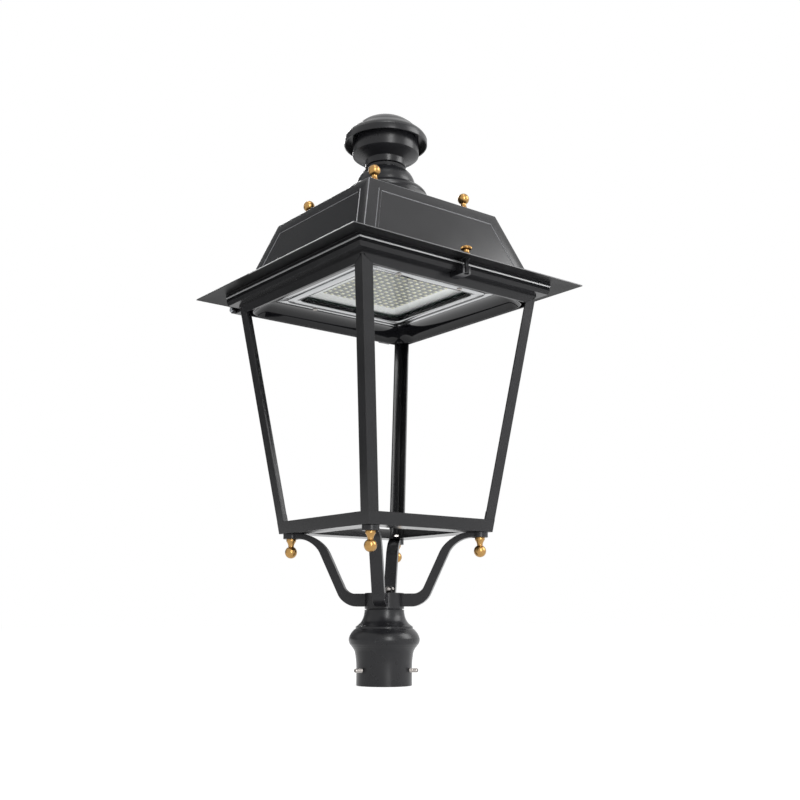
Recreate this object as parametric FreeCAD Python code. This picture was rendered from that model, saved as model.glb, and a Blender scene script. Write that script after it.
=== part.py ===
import FreeCAD
import Part
import math
import os

V = FreeCAD.Vector
UP = V(0, 0, 1)
SIDES = (-1, 1)

# Heights, millimetres, from the bottom face of the post sleeve up
Z_SLEEVE_TOP = 107.2
HUB_GROOVE = 1.1
HUB_HIGH = 23.1
ARM_RISE = 87.6
RAIL_HIGH = 18.0
WINDOW_HIGH = 328.3
MITRE_HIGH = 10.7
HEAD_HIGH = 16.7
PARTING_HIGH = 9.0
SKIRT_HIGH = 12.0
HOOD_HIGH = 107.5
Z_HUB_BOTTOM = Z_SLEEVE_TOP + HUB_GROOVE
Z_HUB_TOP = Z_HUB_BOTTOM + HUB_HIGH
Z_FRAME_BOTTOM = Z_HUB_TOP + ARM_RISE
Z_WINDOW_BOTTOM = Z_FRAME_BOTTOM + RAIL_HIGH
Z_WINDOW_TOP = Z_WINDOW_BOTTOM + WINDOW_HIGH
Z_MITRE_CORNER = Z_WINDOW_TOP + MITRE_HIGH
Z_LEDGE = Z_WINDOW_TOP + HEAD_HIGH
Z_PARTING = Z_LEDGE + PARTING_HIGH
Z_SKIRT_TOP = Z_PARTING + SKIRT_HIGH
Z_ROOF_TOP = Z_SKIRT_TOP + HOOD_HIGH

# Cage: half-widths are measured from the centre line to the flat of a side
CAGE_FOOT = 113.35
CAGE_TAPER = 0.1425
LEG_FACE = 18.0
LEG_WALL = 3.0
RAIL_WALL = 3.0
FLOOR_FLANGE = 34.35
FLOOR_OPENING = CAGE_FOOT - FLOOR_FLANGE
CLEAT_WALL = 2.0
CLEAT_REACH = 12.0

# Upper rail, its ledge and its cornice
HEAD_WALL = 2.5
HEAD_FLARE = 2.3
LEDGE_THICK = 2.5
LEDGE_WIDE = 8.7
CORNICE_WIDE = 14.6
CORNICE_BEVEL = 1.9
CORNICE_FACE = 5.0
HEAD_HALF = CAGE_FOOT + CAGE_TAPER * (Z_WINDOW_TOP - Z_FRAME_BOTTOM)
HEAD_INSIDE = HEAD_HALF - HEAD_WALL
LEDGE_INSIDE = HEAD_INSIDE + 0.6
LEDGE_OUTSIDE = LEDGE_INSIDE + LEDGE_WIDE
RAIL_HEAD = HEAD_HALF + HEAD_FLARE
CORNICE_OUT = RAIL_HEAD + CORNICE_WIDE
CORNICE_LOW = CORNICE_OUT - CORNICE_BEVEL

# Roof: skirt, band over the joint, hood and the beads on its panels
JOINT_GAP = 1.2
BAND_PROUD = 0.9
BAND_WALL = 3.6
BAND_BEVEL = 1.5
EAVE_REACH = 34.5
EAVE_THICK = 2.0
EAVE_LIFT = 0.3
SKIRT_SLOPE = 0.1765
SKIRT_WALL = 1.8
HOOD_SETBACK = 20.16
HOOD_SLOPE = 0.352
HOOD_WALL = 2.65
ROOF_PLATE = 2.5
BEAD_INSET = 18.5
BEAD_WIDE = 5.5
BEAD_PROUD = 0.85
BEAD_DROP = 14.5
BAND_OUT = CORNICE_OUT + BAND_PROUD
BAND_IN = BAND_OUT - BAND_WALL
BAND_BOTTOM = Z_PARTING + JOINT_GAP
EAVE_HALF = BAND_OUT + EAVE_REACH
EAVE_BOTTOM = Z_PARTING + EAVE_LIFT
GASKET_WIDE = 5.0
GASKET_HIGH = 6.3
GASKET_IN = LEDGE_OUTSIDE + 1.0

# Post sleeve, with radii outside its plain skirt given as steps from it
POST_BORE_R = 31.0
POST_BORE_DEEP = 64.0
NUT_WELL_R = 26.5
NUT_WELL_DEEP = 12.0
NUT_WELL_TOP = POST_BORE_DEEP + NUT_WELL_DEEP
SLEEVE_WALL = 9.4
SLEEVE_WEB = 8.0
SLEEVE_CHAMBER_R = 22.0
SLEEVE_R = POST_BORE_R + SLEEVE_WALL
FLARE_LOW = 24.0
FLARE_TOP = 54.0
FLARE_STEP = 6.1
FLARE_BOW = -2.2
BULGE_LOW = 56.0
BULGE_LOW_STEP = 7.8
BULGE_TOP = 78.8
BULGE_TOP_STEP = 3.9
BULGE_BOW = 5.2
RING_LOW = 80.2
RING_TOP = 83.3
RING_STEP = 1.4
NECK_LOW = 84.4
NECK_LOW_STEP = -0.8
NECK_TOP = 104.0
NECK_BOW = -2.6
SET_SCREW_Z = 22.0
SET_SCREW_R = 3.0
SET_SCREW_FIT = 0.1
SET_SCREW_HOLE_R = SET_SCREW_R + SET_SCREW_FIT
SET_SCREW_ANGLES = (180, -60, 60)
SET_SCREW_IN = POST_BORE_R + 1.0
SET_SCREW_OUT = SLEEVE_R + 11.6

# Hub and the hollow tube that clamps it
HUB_R = 29.0
HUB_WASHER_R = 26.5
TUBE_R = 8.0
TUBE_BORE_R = 6.0
TUBE_FIT = 0.2
TUBE_HOLE_R = TUBE_R + TUBE_FIT
TUBE_BOTTOM = POST_BORE_DEEP + 3.0
TUBE_NUT_FLATS = 24.0
TUBE_NUT_HIGH = 7.0

# Earth screw in its tab on the hub
EARTH_TAB_Y = -13.1
EARTH_TAB_WIDE = 8.8
EARTH_TAB_THICK = 3.0
EARTH_TAB_HIGH = 9.6
EARTH_SCREW_Y = -12.8
EARTH_SCREW_RISE = 4.8
EARTH_SCREW_R = 2.4
EARTH_FIT = 0.2
EARTH_HOLE_R = EARTH_SCREW_R + EARTH_FIT
EARTH_HEAD_R = 4.0
EARTH_HEAD_HIGH = 4.5
EARTH_NUT_FLATS = 7.6
EARTH_NUT_HIGH = 3.4

# Arms, in the upright plane of each diagonal
ARM_WIDE = 18.0
ARM_ROOT = 16.0
ARM_DEEP = 18.7
ARM_SUNK = 0.9
ARM_UPPER_BEND = 54.5
ARM_UPPER_BEND_R = 16.0
ARM_UPPER_RUN = 45.6
ARM_UPPER_END_R = 50.0
ARM_LOWER_BEND = 60.0
ARM_LOWER_BEND_R = 30.0
ARM_LOWER_RUN = 35.3
ARM_LOWER_END_R = 37.0
ARM_END_THICK = 7.7
BOSS_R = 12.0

# Brass balls
LOWER_BALL_INSET = 13.35
UPPER_BALL_INSET = 35.0
BALL_R = 9.0
BALL_FLANGE_R = 7.3
BALL_FLANGE_HIGH = 3.4
BALL_NECK_R = 4.2
BALL_NECK_BOW = -1.15
BALL_CENTRE = 19.8
BALL_BASE_HIGH = 11.1
LOWER_BALL_HALF = CAGE_FOOT - LOWER_BALL_INSET
M6_R = 3.0
M6_FIT = 0.25
M6_HOLE_R = M6_R + M6_FIT
M6_NUT_FLATS = 10.0
M6_NUT_HIGH = 5.0

# M4 screws of the lamp stack, the gear and the hinges
M4_R = 2.0
M4_FIT = 0.1
M4_HOLE_R = M4_R + M4_FIT
M4_HEAD_R = 3.5
M4_HEAD_FLATS = 7.0
M4_HEAD_HIGH = 2.5

# Hinges
HINGE_REACH = 18.4
HINGE_X = 149.0
KNUCKLE_R = 6.0
BRACKET_WIDE = 10.0
EAR_WIDE = 4.7
EAR_GAP = 0.3
PIN_R = 2.5
PIN_BRACKET_FIT = 0.05
PIN_EAR_FIT = 0.08
PIN_BRACKET_R = PIN_R + PIN_BRACKET_FIT
PIN_EAR_R = PIN_R + PIN_EAR_FIT
PIN_HEAD_R = 4.2
PIN_HEAD_HIGH = 2.5
PIN_RING_HIGH = 1.2
LEAF_BACK = 11.0
LEAF_FRONT = 13.0
LEAF_THICK = 2.5
HINGE_Y = CORNICE_OUT + HINGE_REACH
HINGE_Z = Z_LEDGE
BRACKET_SCREW_Y = RAIL_HEAD + 9.0

# Closing screw and its forked lug
CLOSER_REACH = 10.4
CLOSER_R = 3.0
CLOSER_FIT = 0.1
CLOSER_HOLE_R = CLOSER_R + CLOSER_FIT
CLOSER_STEM_R = 4.2
CLOSER_FLANGE_R = 6.2
CLOSER_FLANGE_HIGH = 1.8
CLOSER_FLANGE_BOW = -0.35
CLOSER_HEAD_R = 9.75
CLOSER_HEAD_HIGH = 6.0
CLOSER_HEAD_RISE = 9.5
CLOSER_BOSS_R = 7.5
CLOSER_BOSS_RISE = 9.0
CLOSER_TIP_DROP = 7.5
CLOSER_RING_R = 4.6
CLOSER_RING_HIGH = 1.2
LUG_FIT = 0.6
LUG_CHEEK = 3.9
LUG_SLOT_HALF = CLOSER_R + LUG_FIT
LUG_HALF = LUG_SLOT_HALF + LUG_CHEEK
LUG_LOW_DROP = 9.0
LUG_HIGH = 13.0
CLOSER_Y = -(CORNICE_OUT + CLOSER_REACH)
CLOSER_BOSS_Z = Z_PARTING + CLOSER_BOSS_RISE
CLOSER_HEAD_Z = CLOSER_BOSS_Z + CLOSER_HEAD_RISE
CLOSER_TIP_Z = Z_LEDGE - CLOSER_TIP_DROP
LUG_FRONT = 1.0 - CLOSER_Y
LUG_BOTTOM = Z_LEDGE - LUG_LOW_DROP
LUG_TOP = LUG_BOTTOM + LUG_HIGH

# Lamp tray: flat middle, cove, lip inside the rail and rim on the ledge
TRAY_FIT = 0.3
TRAY_LIP_THICK = 1.9
TRAY_LIP_DROP = 16.0
TRAY_RIM_THICK = 3.0
TRAY_SHEET = 2.5
TRAY_FLAT_RISE = 2.5
TRAY_COLLAR_RISE = 8.0
COVE_WIDE = 36.0
TRAY_OPENING = 98.0
OPENING_CORNER = 12.0
COLLAR_WALL = 7.0
FRONT_SCREW_X = 58.0
FRONT_SCREW_GAP = 11.0
BACK_SCREW_X = 52.0
BACK_SCREW_GAP = 21.0
TRAY_LIP_OUT = HEAD_INSIDE - TRAY_FIT
TRAY_LIP_IN = TRAY_LIP_OUT - TRAY_LIP_THICK
TRAY_LIP_Z = Z_LEDGE - TRAY_LIP_DROP
TRAY_RIM = LEDGE_OUTSIDE - TRAY_FIT
TRAY_FLAT = TRAY_LIP_IN - COVE_WIDE
TRAY_FLAT_Z = Z_LEDGE + TRAY_FLAT_RISE
TRAY_COLLAR = TRAY_OPENING + COLLAR_WALL
TRAY_COLLAR_Z = Z_LEDGE + TRAY_COLLAR_RISE
RIM_SCREW_HALF = LEDGE_OUTSIDE - 4.1
GLAND_HALF = TRAY_FLAT + 31.5

# Lamp stack above the tray
GLASS_LAP = 6.0
GASKET_THICK = 1.0
GLASS_THICK = 4.0
SPACER_THICK = 1.5
BOARD_THICK = 1.6
BOARD_MARGIN = 2.9
BOARD_FIT = 0.3
CHIP_COUNT = 12
CHIP_PITCH = 12.2
CHIP_SIZE = 4.4
CHIP_THICK = 0.8
SINK_THICK = 6.0
SINK_LAP = 2.0
SINK_SCREW_MARGIN = 7.0
FIN_COUNT = 13
FIN_PITCH = 11.0
FIN_THICK = 2.0
FIN_HIGH = 34.0
FIN_HALF_Y = 88.0
PILLAR_R = 3.8
GLASS_HALF = TRAY_OPENING + GLASS_LAP
BOARD_HALF = CHIP_PITCH * (CHIP_COUNT - 1) / 2 + BOARD_MARGIN

# Control gear on its plate
GEAR_GAP = 3.9
GEAR_PLATE_X = 88.0
GEAR_PLATE_Y = 72.0
GEAR_PLATE_THICK = 2.0
STANDOFF_FLATS = 8.0
STANDOFF_X = GEAR_PLATE_X - 10.0
STANDOFF_Y = GEAR_PLATE_Y - 8.0
DRIVER_HALF = 72.0
DRIVER_TAB = 12.0
DRIVER_TAB_THICK = 3.0
DRIVER_TAB_HALF_WIDE = 15.0
DRIVER_FRONT = -56.0
DRIVER_BACK = 6.0
DRIVER_HIGH = 36.0
DRIVER_LID_EDGE = 4.0
DRIVER_LID_DEEP = 1.2
TERMINAL_POLES = 4
TERMINAL_PITCH = 11.0
TERMINAL_Y = (18.0, 38.0)
TERMINAL_HIGH = 17.0
TERMINAL_WAY = 4.8
TERMINAL_WAY_RISE = 6.0
SURGE_X = (32.0, 70.0)
SURGE_Y = (18.0, 46.0)
SURGE_HIGH = 24.0
SURGE_LID_EDGE = 3.0
SURGE_LID_DEEP = 0.8
GLAND_R = 4.0
GLAND_FIT = 0.2
GLAND_HOLE_R = GLAND_R + GLAND_FIT
GLAND_BORE_R = 2.6
GLAND_FLATS = 9.4
GLAND_DROP = 7.0
GLAND_RISE = 11.0
GLAND_NUT_FLATS = 10.5
GLAND_NUT_HIGH = 4.0

# Chimney: heights above the roof plate
FOOT_R = 92.0
FOOT_EDGE = 3.0
FOOT_TOP_R = 63.0
FOOT_TOP = 42.7
FOOT_BOW = 5.2
GROOVE_R = 60.0
GROOVE_TOP = 45.5
LOBE_R = 65.0
LOBE_TOP_R = 47.7
LOBE_TOP = 62.9
LOBE_BOW = 2.2
BELL_R = 46.6
BELL_LOW = 63.8
BELL_TOP_R = 30.4
BELL_TOP = 84.1
BELL_BOW = 2.5
BASE_RING_R = 31.3
BASE_RING_TOP = 88.5
BASE_TOP_R = 28.5
BASE_TOP = 89.5
COLLAR_R = 32.4
COLLAR_TOP = 96.5
FLARE_OUT_BOW = 0.6
DRUM_R = 53.0
DRUM_LOW = 109.9
DRUM_TOP = 139.5
CAST_WALL = 3.4
DRUM_WALL = 2.8
CAP_R = 66.6
CAP_RIM_LOW = 127.5
CAP_RIM_TOP = 137.1
CAP_RIM_WALL = 2.2
CAP_ROLL_R = 58.0
CAP_ROLL_TOP = 147.5
CAP_ROLL_BOW = 0.95
CAP_COVE_BOW = -0.5
CAP_DOME_R = 46.0
CAP_DOME_LOW = 158.5
CAP_DOME_BOW = 1.3
CAP_CROWN_R = 24.0
CAP_CROWN_LOW = 172.1
CAP_TOP = 179.0
CAP_HOLLOW_R = 44.0
CAP_HOLLOW_SIDE = 12.0
CAP_BOSS_R = 9.0
CAP_BOSS_LOW = 157.5
ROD_R = 4.0
ROD_FIT = 0.2
ROD_HOLE_R = ROD_R + ROD_FIT
ROD_NUT_FLATS = 13.0
ROD_NUT_HIGH = 6.5
ROD_BELOW = 12.5
ROD_COVER = 6.5


def cage_half(z):
    return CAGE_FOOT + CAGE_TAPER * (z - Z_FRAME_BOTTOM)


def hood_half(z):
    return BAND_OUT - HOOD_SETBACK - HOOD_SLOPE * (z - Z_SKIRT_TOP)


def skirt_under(w):
    """Height of the skirt's underside at half-width w."""
    return EAVE_BOTTOM + SKIRT_SLOPE * (EAVE_HALF - w)


def save(name, shapes):
    solids = []
    for shape in shapes:
        solids.extend(shape.Solids)
    Part.makeCompound(solids).exportStep("parts/" + name + ".step")


def box(x0, x1, y0, y1, z0, z1):
    return Part.makeBox(x1 - x0, y1 - y0, z1 - z0, V(x0, y0, z0))


def rod(radius, z0, z1, x=0.0, y=0.0):
    return Part.makeCylinder(radius, z1 - z0, V(x, y, z0), UP)


def rod_x(radius, x0, x1, y, z):
    return Part.makeCylinder(radius, x1 - x0, V(x0, y, z), V(1, 0, 0))


def hexagon(flats, z0, z1, x=0.0, y=0.0):
    """Upright hexagonal prism, flats measured across."""
    reach = flats / 2.0 / math.cos(math.radians(30))
    points = []
    for k in range(7):
        angle = math.radians(60 * k + 30)
        points.append(V(x + reach * math.cos(angle), y + reach * math.sin(angle), z0))
    return Part.Face(Part.makePolygon(points)).extrude(V(0, 0, z1 - z0))


def nut(flats, hole_r, z0, z1, x=0.0, y=0.0):
    return hexagon(flats, z0, z1, x, y).cut(rod(hole_r, z0 - 1, z1 + 1, x, y))


def prism_yz(points, x0, x1):
    """Solid with a Y-Z outline, running along X."""
    outline = [V(x0, y, z) for y, z in points]
    outline.append(outline[0])
    return Part.Face(Part.makePolygon(outline)).extrude(V(x1 - x0, 0, 0))


def prism_xz(points, y0, y1):
    """Solid with an X-Z outline, running along Y."""
    outline = [V(x, y0, z) for x, z in points]
    outline.append(outline[0])
    return Part.Face(Part.makePolygon(outline)).extrude(V(0, y1 - y0, 0))


def run_edge(run):
    """Two points make a line, three an arc."""
    points = [V(r, 0, z) for r, z in run]
    if len(points) == 2:
        return Part.makeLine(points[0], points[1])
    return Part.Arc(points[0], points[1], points[2]).toShape()


def bowed(start, end, bow):
    """Arc run that stands out to the right of the line from start to end by bow, or in if negative."""
    dr = end[0] - start[0]
    dz = end[1] - start[1]
    length = math.hypot(dr, dz)
    middle = ((start[0] + end[0]) / 2 + bow * dz / length, (start[1] + end[1]) / 2 - bow * dr / length)
    return [start, middle, end]


def outline_runs(steps):
    """Runs from (radius, height) or (radius, height, bow) steps; the last joins back to the first."""
    runs = []
    for i in range(len(steps)):
        start = steps[i - 1][:2]
        end = steps[i][:2]
        bow = steps[i][2] if len(steps[i]) > 2 else 0
        runs.append(bowed(start, end, bow) if bow else [start, end])
    return runs


def lifted(steps, rise):
    return [(step[0], step[1] + rise) + tuple(step[2:]) for step in steps]


def turned(runs, x=0.0, y=0.0, angle=360.0):
    """Lathe-turned solid from joined (radius, height) runs."""
    face = Part.Face(Part.Wire([run_edge(run) for run in runs]))
    solid = face.revolve(V(0, 0, 0), UP, angle)
    solid.translate(V(x, y, 0))
    return solid


def solid_of(faces):
    shell = Part.makeShell(faces)
    shell.sewShape()
    solid = Part.makeSolid(shell)
    if solid.Volume < 0:
        solid.reverse()
    return solid.removeSplitter()


def square_ring(profile):
    """Mitred square frame: each edge of the (half-width, height) profile goes round four sides."""
    corners = ((-1, -1), (1, -1), (1, 1), (-1, 1))
    faces = []
    for i in range(len(profile)):
        w0, z0 = profile[i]
        w1, z1 = profile[(i + 1) % len(profile)]
        for k in range(4):
            ax, ay = corners[k]
            bx, by = corners[(k + 1) % 4]
            a = V(ax * w0, ay * w0, z0)
            b = V(bx * w0, by * w0, z0)
            c = V(bx * w1, by * w1, z1)
            d = V(ax * w1, ay * w1, z1)
            faces.append(Part.Face(Part.makePolygon([a, b, c, d, a])))
    return solid_of(faces)


def square_block(w0, z0, w1, z1):
    """Solid square block that tapers from half-width w0 at z0 to w1 at z1."""
    low = [V(x, y, z0) for x, y in four_corners(w0)]
    high = [V(x, y, z1) for x, y in four_corners(w1)]
    faces = [Part.Face(Part.makePolygon(low + low[:1])), Part.Face(Part.makePolygon(high + high[:1]))]
    for k in range(4):
        n = (k + 1) % 4
        faces.append(Part.Face(Part.makePolygon([low[k], low[n], high[n], high[k], low[k]])))
    return solid_of(faces)


def rounded_block(half, corner, z0, z1):
    """Square block with rounded upright edges."""
    block = box(-half, half, -half, half, z0, z1)
    upright = [edge for edge in block.Edges if abs(edge.Vertexes[0].Z - edge.Vertexes[-1].Z) > 0.5 * (z1 - z0)]
    return block.makeFillet(corner, upright)


def rounded_ring(inner, corner, wall, z0, z1):
    """Square ring with rounded corners inside and out."""
    return rounded_block(inner + wall, corner + wall, z0, z1).cut(rounded_block(inner, corner, z0 - 1, z1 + 1))


def four_corners(half):
    return ((-half, -half), (half, -half), (half, half), (-half, half))


def turn_about_axis(shape, degrees):
    copy = shape.copy()
    copy.rotate(V(0, 0, 0), UP, degrees)
    return copy


# Post sleeve and hub

def make_post_sleeve():
    """Turned casting: plain skirt, bulge, ring and neck, with a stepped bore for the post and the lock nut."""
    chamber = NUT_WELL_TOP + SLEEVE_WEB
    neck_r = HUB_R + 0.1
    body = turned(outline_runs([
        (0, 0),
        (SLEEVE_R, 0),
        (SLEEVE_R, FLARE_LOW),
        (SLEEVE_R + FLARE_STEP, FLARE_TOP, FLARE_BOW),
        (SLEEVE_R + BULGE_LOW_STEP, BULGE_LOW),
        (SLEEVE_R + BULGE_TOP_STEP, BULGE_TOP, BULGE_BOW),
        (SLEEVE_R + RING_STEP, RING_LOW),
        (SLEEVE_R + RING_STEP, RING_TOP),
        (SLEEVE_R + NECK_LOW_STEP, NECK_LOW),
        (neck_r, NECK_TOP, NECK_BOW),
        (neck_r, Z_SLEEVE_TOP),
        (0, Z_SLEEVE_TOP),
    ]))
    body = body.cut(rod(POST_BORE_R, -1, POST_BORE_DEEP))
    body = body.cut(rod(NUT_WELL_R, POST_BORE_DEEP - 1, NUT_WELL_TOP))
    body = body.cut(rod(TUBE_HOLE_R, NUT_WELL_TOP - 1, chamber + 1))
    body = body.cut(rod(SLEEVE_CHAMBER_R, chamber, Z_SLEEVE_TOP + 1))
    hole = rod_x(SET_SCREW_HOLE_R, POST_BORE_R - 2, SET_SCREW_OUT, 0, SET_SCREW_Z)
    for angle in SET_SCREW_ANGLES:
        body = body.cut(turn_about_axis(hole, angle))
    return [body]


def make_set_screws():
    """Headless screws with a hexagon socket in the outer end."""
    blank = rod_x(SET_SCREW_R, SET_SCREW_IN, SET_SCREW_OUT, 0, SET_SCREW_Z)
    socket = hexagon(SET_SCREW_R, 0, SET_SCREW_R + 0.5)
    socket.rotate(V(0, 0, 0), V(0, 1, 0), 90)
    socket.translate(V(SET_SCREW_OUT - SET_SCREW_R, 0, SET_SCREW_Z))
    screw = blank.cut(socket)
    return [turn_about_axis(screw, angle) for angle in SET_SCREW_ANGLES]


def make_hub_washer():
    return [rod(HUB_WASHER_R, Z_SLEEVE_TOP, Z_HUB_BOTTOM).cut(rod(TUBE_HOLE_R, Z_SLEEVE_TOP - 1, Z_HUB_BOTTOM + 1))]


def make_arm_hub():
    """Disc with four slots on the diagonals and an upright tab for the earth screw."""
    hub = rod(HUB_R, Z_HUB_BOTTOM, Z_HUB_TOP)
    hub = hub.cut(rod(TUBE_HOLE_R, Z_HUB_BOTTOM - 1, Z_HUB_TOP + 1))
    slot = box(ARM_ROOT, HUB_R + 1, -ARM_WIDE / 2, ARM_WIDE / 2, arm_low_z(), Z_HUB_TOP + 1)
    for angle in (45, 135, 225, 315):
        hub = hub.cut(turn_about_axis(slot, angle))
    half = EARTH_TAB_THICK / 2
    tab = box(-half, half, EARTH_TAB_Y - EARTH_TAB_WIDE / 2, EARTH_TAB_Y + EARTH_TAB_WIDE / 2,
              Z_HUB_TOP - 1, Z_HUB_TOP + EARTH_TAB_HIGH)
    tab = tab.cut(rod_x(EARTH_HOLE_R, -half - 1, half + 1, EARTH_SCREW_Y, Z_HUB_TOP + EARTH_SCREW_RISE))
    return [hub.fuse(tab).removeSplitter()]


def make_hub_tube():
    """Hollow threaded tube for the wires, through sleeve web and hub."""
    return [rod(TUBE_R, TUBE_BOTTOM, Z_HUB_TOP).cut(rod(TUBE_BORE_R, TUBE_BOTTOM - 1, Z_HUB_TOP + 1))]


def make_hub_nut():
    return [nut(TUBE_NUT_FLATS, TUBE_HOLE_R, NUT_WELL_TOP - TUBE_NUT_HIGH, NUT_WELL_TOP)]


def make_earth_screw():
    z = Z_HUB_TOP + EARTH_SCREW_RISE
    seat = -EARTH_TAB_THICK / 2
    head = rod_x(EARTH_HEAD_R, seat - EARTH_HEAD_HIGH, seat, EARTH_SCREW_Y, z)
    shank = rod_x(EARTH_SCREW_R, seat - 0.1, EARTH_TAB_THICK / 2 + EARTH_NUT_HIGH + 1.6, EARTH_SCREW_Y, z)
    return [head.fuse(shank).removeSplitter()]


def make_earth_nut():
    body = nut(EARTH_NUT_FLATS, EARTH_HOLE_R, 0, EARTH_NUT_HIGH)
    body.rotate(V(0, 0, 0), V(0, 1, 0), 90)
    body.translate(V(EARTH_TAB_THICK / 2, EARTH_SCREW_Y, Z_HUB_TOP + EARTH_SCREW_RISE))
    return [body]


# Arms

def arm_high_z():
    return Z_HUB_TOP - ARM_SUNK


def arm_low_z():
    return arm_high_z() - ARM_DEEP


def rounded_path(corners):
    """Closed outline from (s, z, radius) corners; each radius is a tangent arc."""
    edges = []
    starts = []
    count = len(corners)
    for i in range(count):
        here = V(corners[i][0], 0, corners[i][1])
        before = V(corners[i - 1][0], 0, corners[i - 1][1])
        after = V(corners[(i + 1) % count][0], 0, corners[(i + 1) % count][1])
        radius = corners[i][2]
        if radius == 0:
            starts.append((here, here, None))
            continue
        back = before.sub(here).normalize()
        ahead = after.sub(here).normalize()
        half = back.getAngle(ahead) / 2.0
        reach = radius / math.tan(half)
        middle = back.add(ahead).normalize()
        apex = here.add(middle * (radius / math.sin(half) - radius))
        starts.append((here.add(back * reach), here.add(ahead * reach), apex))
    for i in range(count):
        enter, leave, apex = starts[i]
        if apex is not None:
            edges.append(Part.Arc(enter, apex, leave).toShape())
        edges.append(Part.makeLine(leave, starts[(i + 1) % count][0]))
    return Part.Wire(edges)


def make_arm(angle):
    """Flat bar that leaves the hub level, climbs and ends level under the cage corner."""
    end = LOWER_BALL_HALF * math.sqrt(2)
    under = Z_FRAME_BOTTOM - ARM_END_THICK
    corners = [
        (ARM_ROOT, arm_high_z(), 0),
        (ARM_UPPER_BEND, arm_high_z(), ARM_UPPER_BEND_R),
        (end - ARM_UPPER_RUN, Z_FRAME_BOTTOM, ARM_UPPER_END_R),
        (end, Z_FRAME_BOTTOM, 0),
        (end, under, 0),
        (end - ARM_LOWER_RUN, under, ARM_LOWER_END_R),
        (ARM_LOWER_BEND, arm_low_z(), ARM_LOWER_BEND_R),
        (ARM_ROOT, arm_low_z(), 0),
    ]
    bar = Part.Face(rounded_path(corners)).extrude(V(0, ARM_WIDE, 0))
    bar.translate(V(0, -ARM_WIDE / 2, 0))
    arm = bar.fuse(rod(BOSS_R, under, Z_FRAME_BOTTOM, end, 0)).removeSplitter()
    arm = arm.cut(rod(M6_HOLE_R, under - 1, Z_FRAME_BOTTOM + 1, end, 0))
    return [turn_about_axis(arm, angle)]


# Brass balls

def finial(stud_long):
    """Ball on a concave neck and flange, seat at height 0, stud below."""
    join = BALL_CENTRE - math.sqrt(BALL_R ** 2 - BALL_NECK_R ** 2)
    return turned([
        [(0, -stud_long), (M6_R, -stud_long)],
        [(M6_R, -stud_long), (M6_R, 0)],
        [(M6_R, 0), (BALL_FLANGE_R, 0)],
        [(BALL_FLANGE_R, 0), (BALL_FLANGE_R, BALL_FLANGE_HIGH)],
        bowed((BALL_FLANGE_R, BALL_FLANGE_HIGH), (BALL_NECK_R, join), BALL_NECK_BOW),
        [(BALL_NECK_R, join), (BALL_R, BALL_CENTRE), (0, BALL_CENTRE + BALL_R)],
        [(0, BALL_CENTRE + BALL_R), (0, -stud_long)],
    ])


def make_lower_finials():
    seat = Z_FRAME_BOTTOM - ARM_END_THICK
    result = []
    for x, y in four_corners(LOWER_BALL_HALF):
        ball = finial(ARM_END_THICK + RAIL_WALL + M6_NUT_HIGH + 3)
        ball.rotate(V(0, 0, 0), V(1, 0, 0), 180)
        ball.translate(V(x, y, seat))
        result.append(ball)
    return result


def make_lower_finial_nuts():
    low = Z_FRAME_BOTTOM + RAIL_WALL
    return [nut(M6_NUT_FLATS, M6_HOLE_R, low, low + M6_NUT_HIGH, x, y) for x, y in four_corners(LOWER_BALL_HALF)]


# Cage

def make_lower_frame():
    """Square rail, sloped like the legs, with an inward flange round the square opening."""
    low = Z_FRAME_BOTTOM
    top = Z_WINDOW_BOTTOM
    frame = square_ring([
        (FLOOR_OPENING, low),
        (cage_half(low), low),
        (cage_half(top), top),
        (cage_half(top) - RAIL_WALL, top),
        (cage_half(low + RAIL_WALL) - RAIL_WALL, low + RAIL_WALL),
        (FLOOR_OPENING, low + RAIL_WALL),
    ])
    for x, y in four_corners(LOWER_BALL_HALF):
        frame = frame.cut(rod(M6_HOLE_R, low - 1, low + RAIL_WALL + 1, x, y))
    return [frame]


def slanted_bar(points, z0, z1):
    """Upright bar that leans outward with the cage at the front left corner."""
    outline = [V(x, y, z0) for x, y in points]
    outline.append(outline[0])
    lean = CAGE_TAPER * (z1 - z0)
    return Part.Face(Part.makePolygon(outline)).extrude(V(-lean, -lean, z1 - z0))


def mitre_z(x):
    """Height of the mitre line between leg and upper rail at distance x from the centre."""
    corner = cage_half(Z_MITRE_CORNER)
    inner = cage_half(Z_WINDOW_TOP) - LEG_FACE
    return Z_WINDOW_TOP + (x - inner) * (Z_MITRE_CORNER - Z_WINDOW_TOP) / (corner - inner)


def leg_plate(z0, outward, inward):
    """One face of the front left leg, cut to the mitre at its top."""
    edge = cage_half(z0)
    points = ((-edge - outward, -edge - outward), (-edge + LEG_FACE, -edge - outward),
              (-edge + LEG_FACE, -edge + inward), (-edge - outward, -edge + inward))
    bar = slanted_bar(points, z0, Z_LEDGE)
    near = HEAD_HALF - LEG_FACE - 10
    far = HEAD_HALF + 10
    waste = prism_xz([(-near, mitre_z(near)), (-far, mitre_z(far)), (-far, Z_PARTING + 10), (-near, Z_PARTING + 10)],
                     -HEAD_HALF - 20, -HEAD_HALF + 20)
    return bar.cut(waste)


def both_faces(plate):
    other = plate.mirror(V(0, 0, 0), V(1, -1, 0).normalize())
    return plate.fuse(other).removeSplitter()


def make_leg(angle):
    return [turn_about_axis(both_faces(leg_plate(Z_WINDOW_BOTTOM, 0, LEG_WALL)), angle)]


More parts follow.
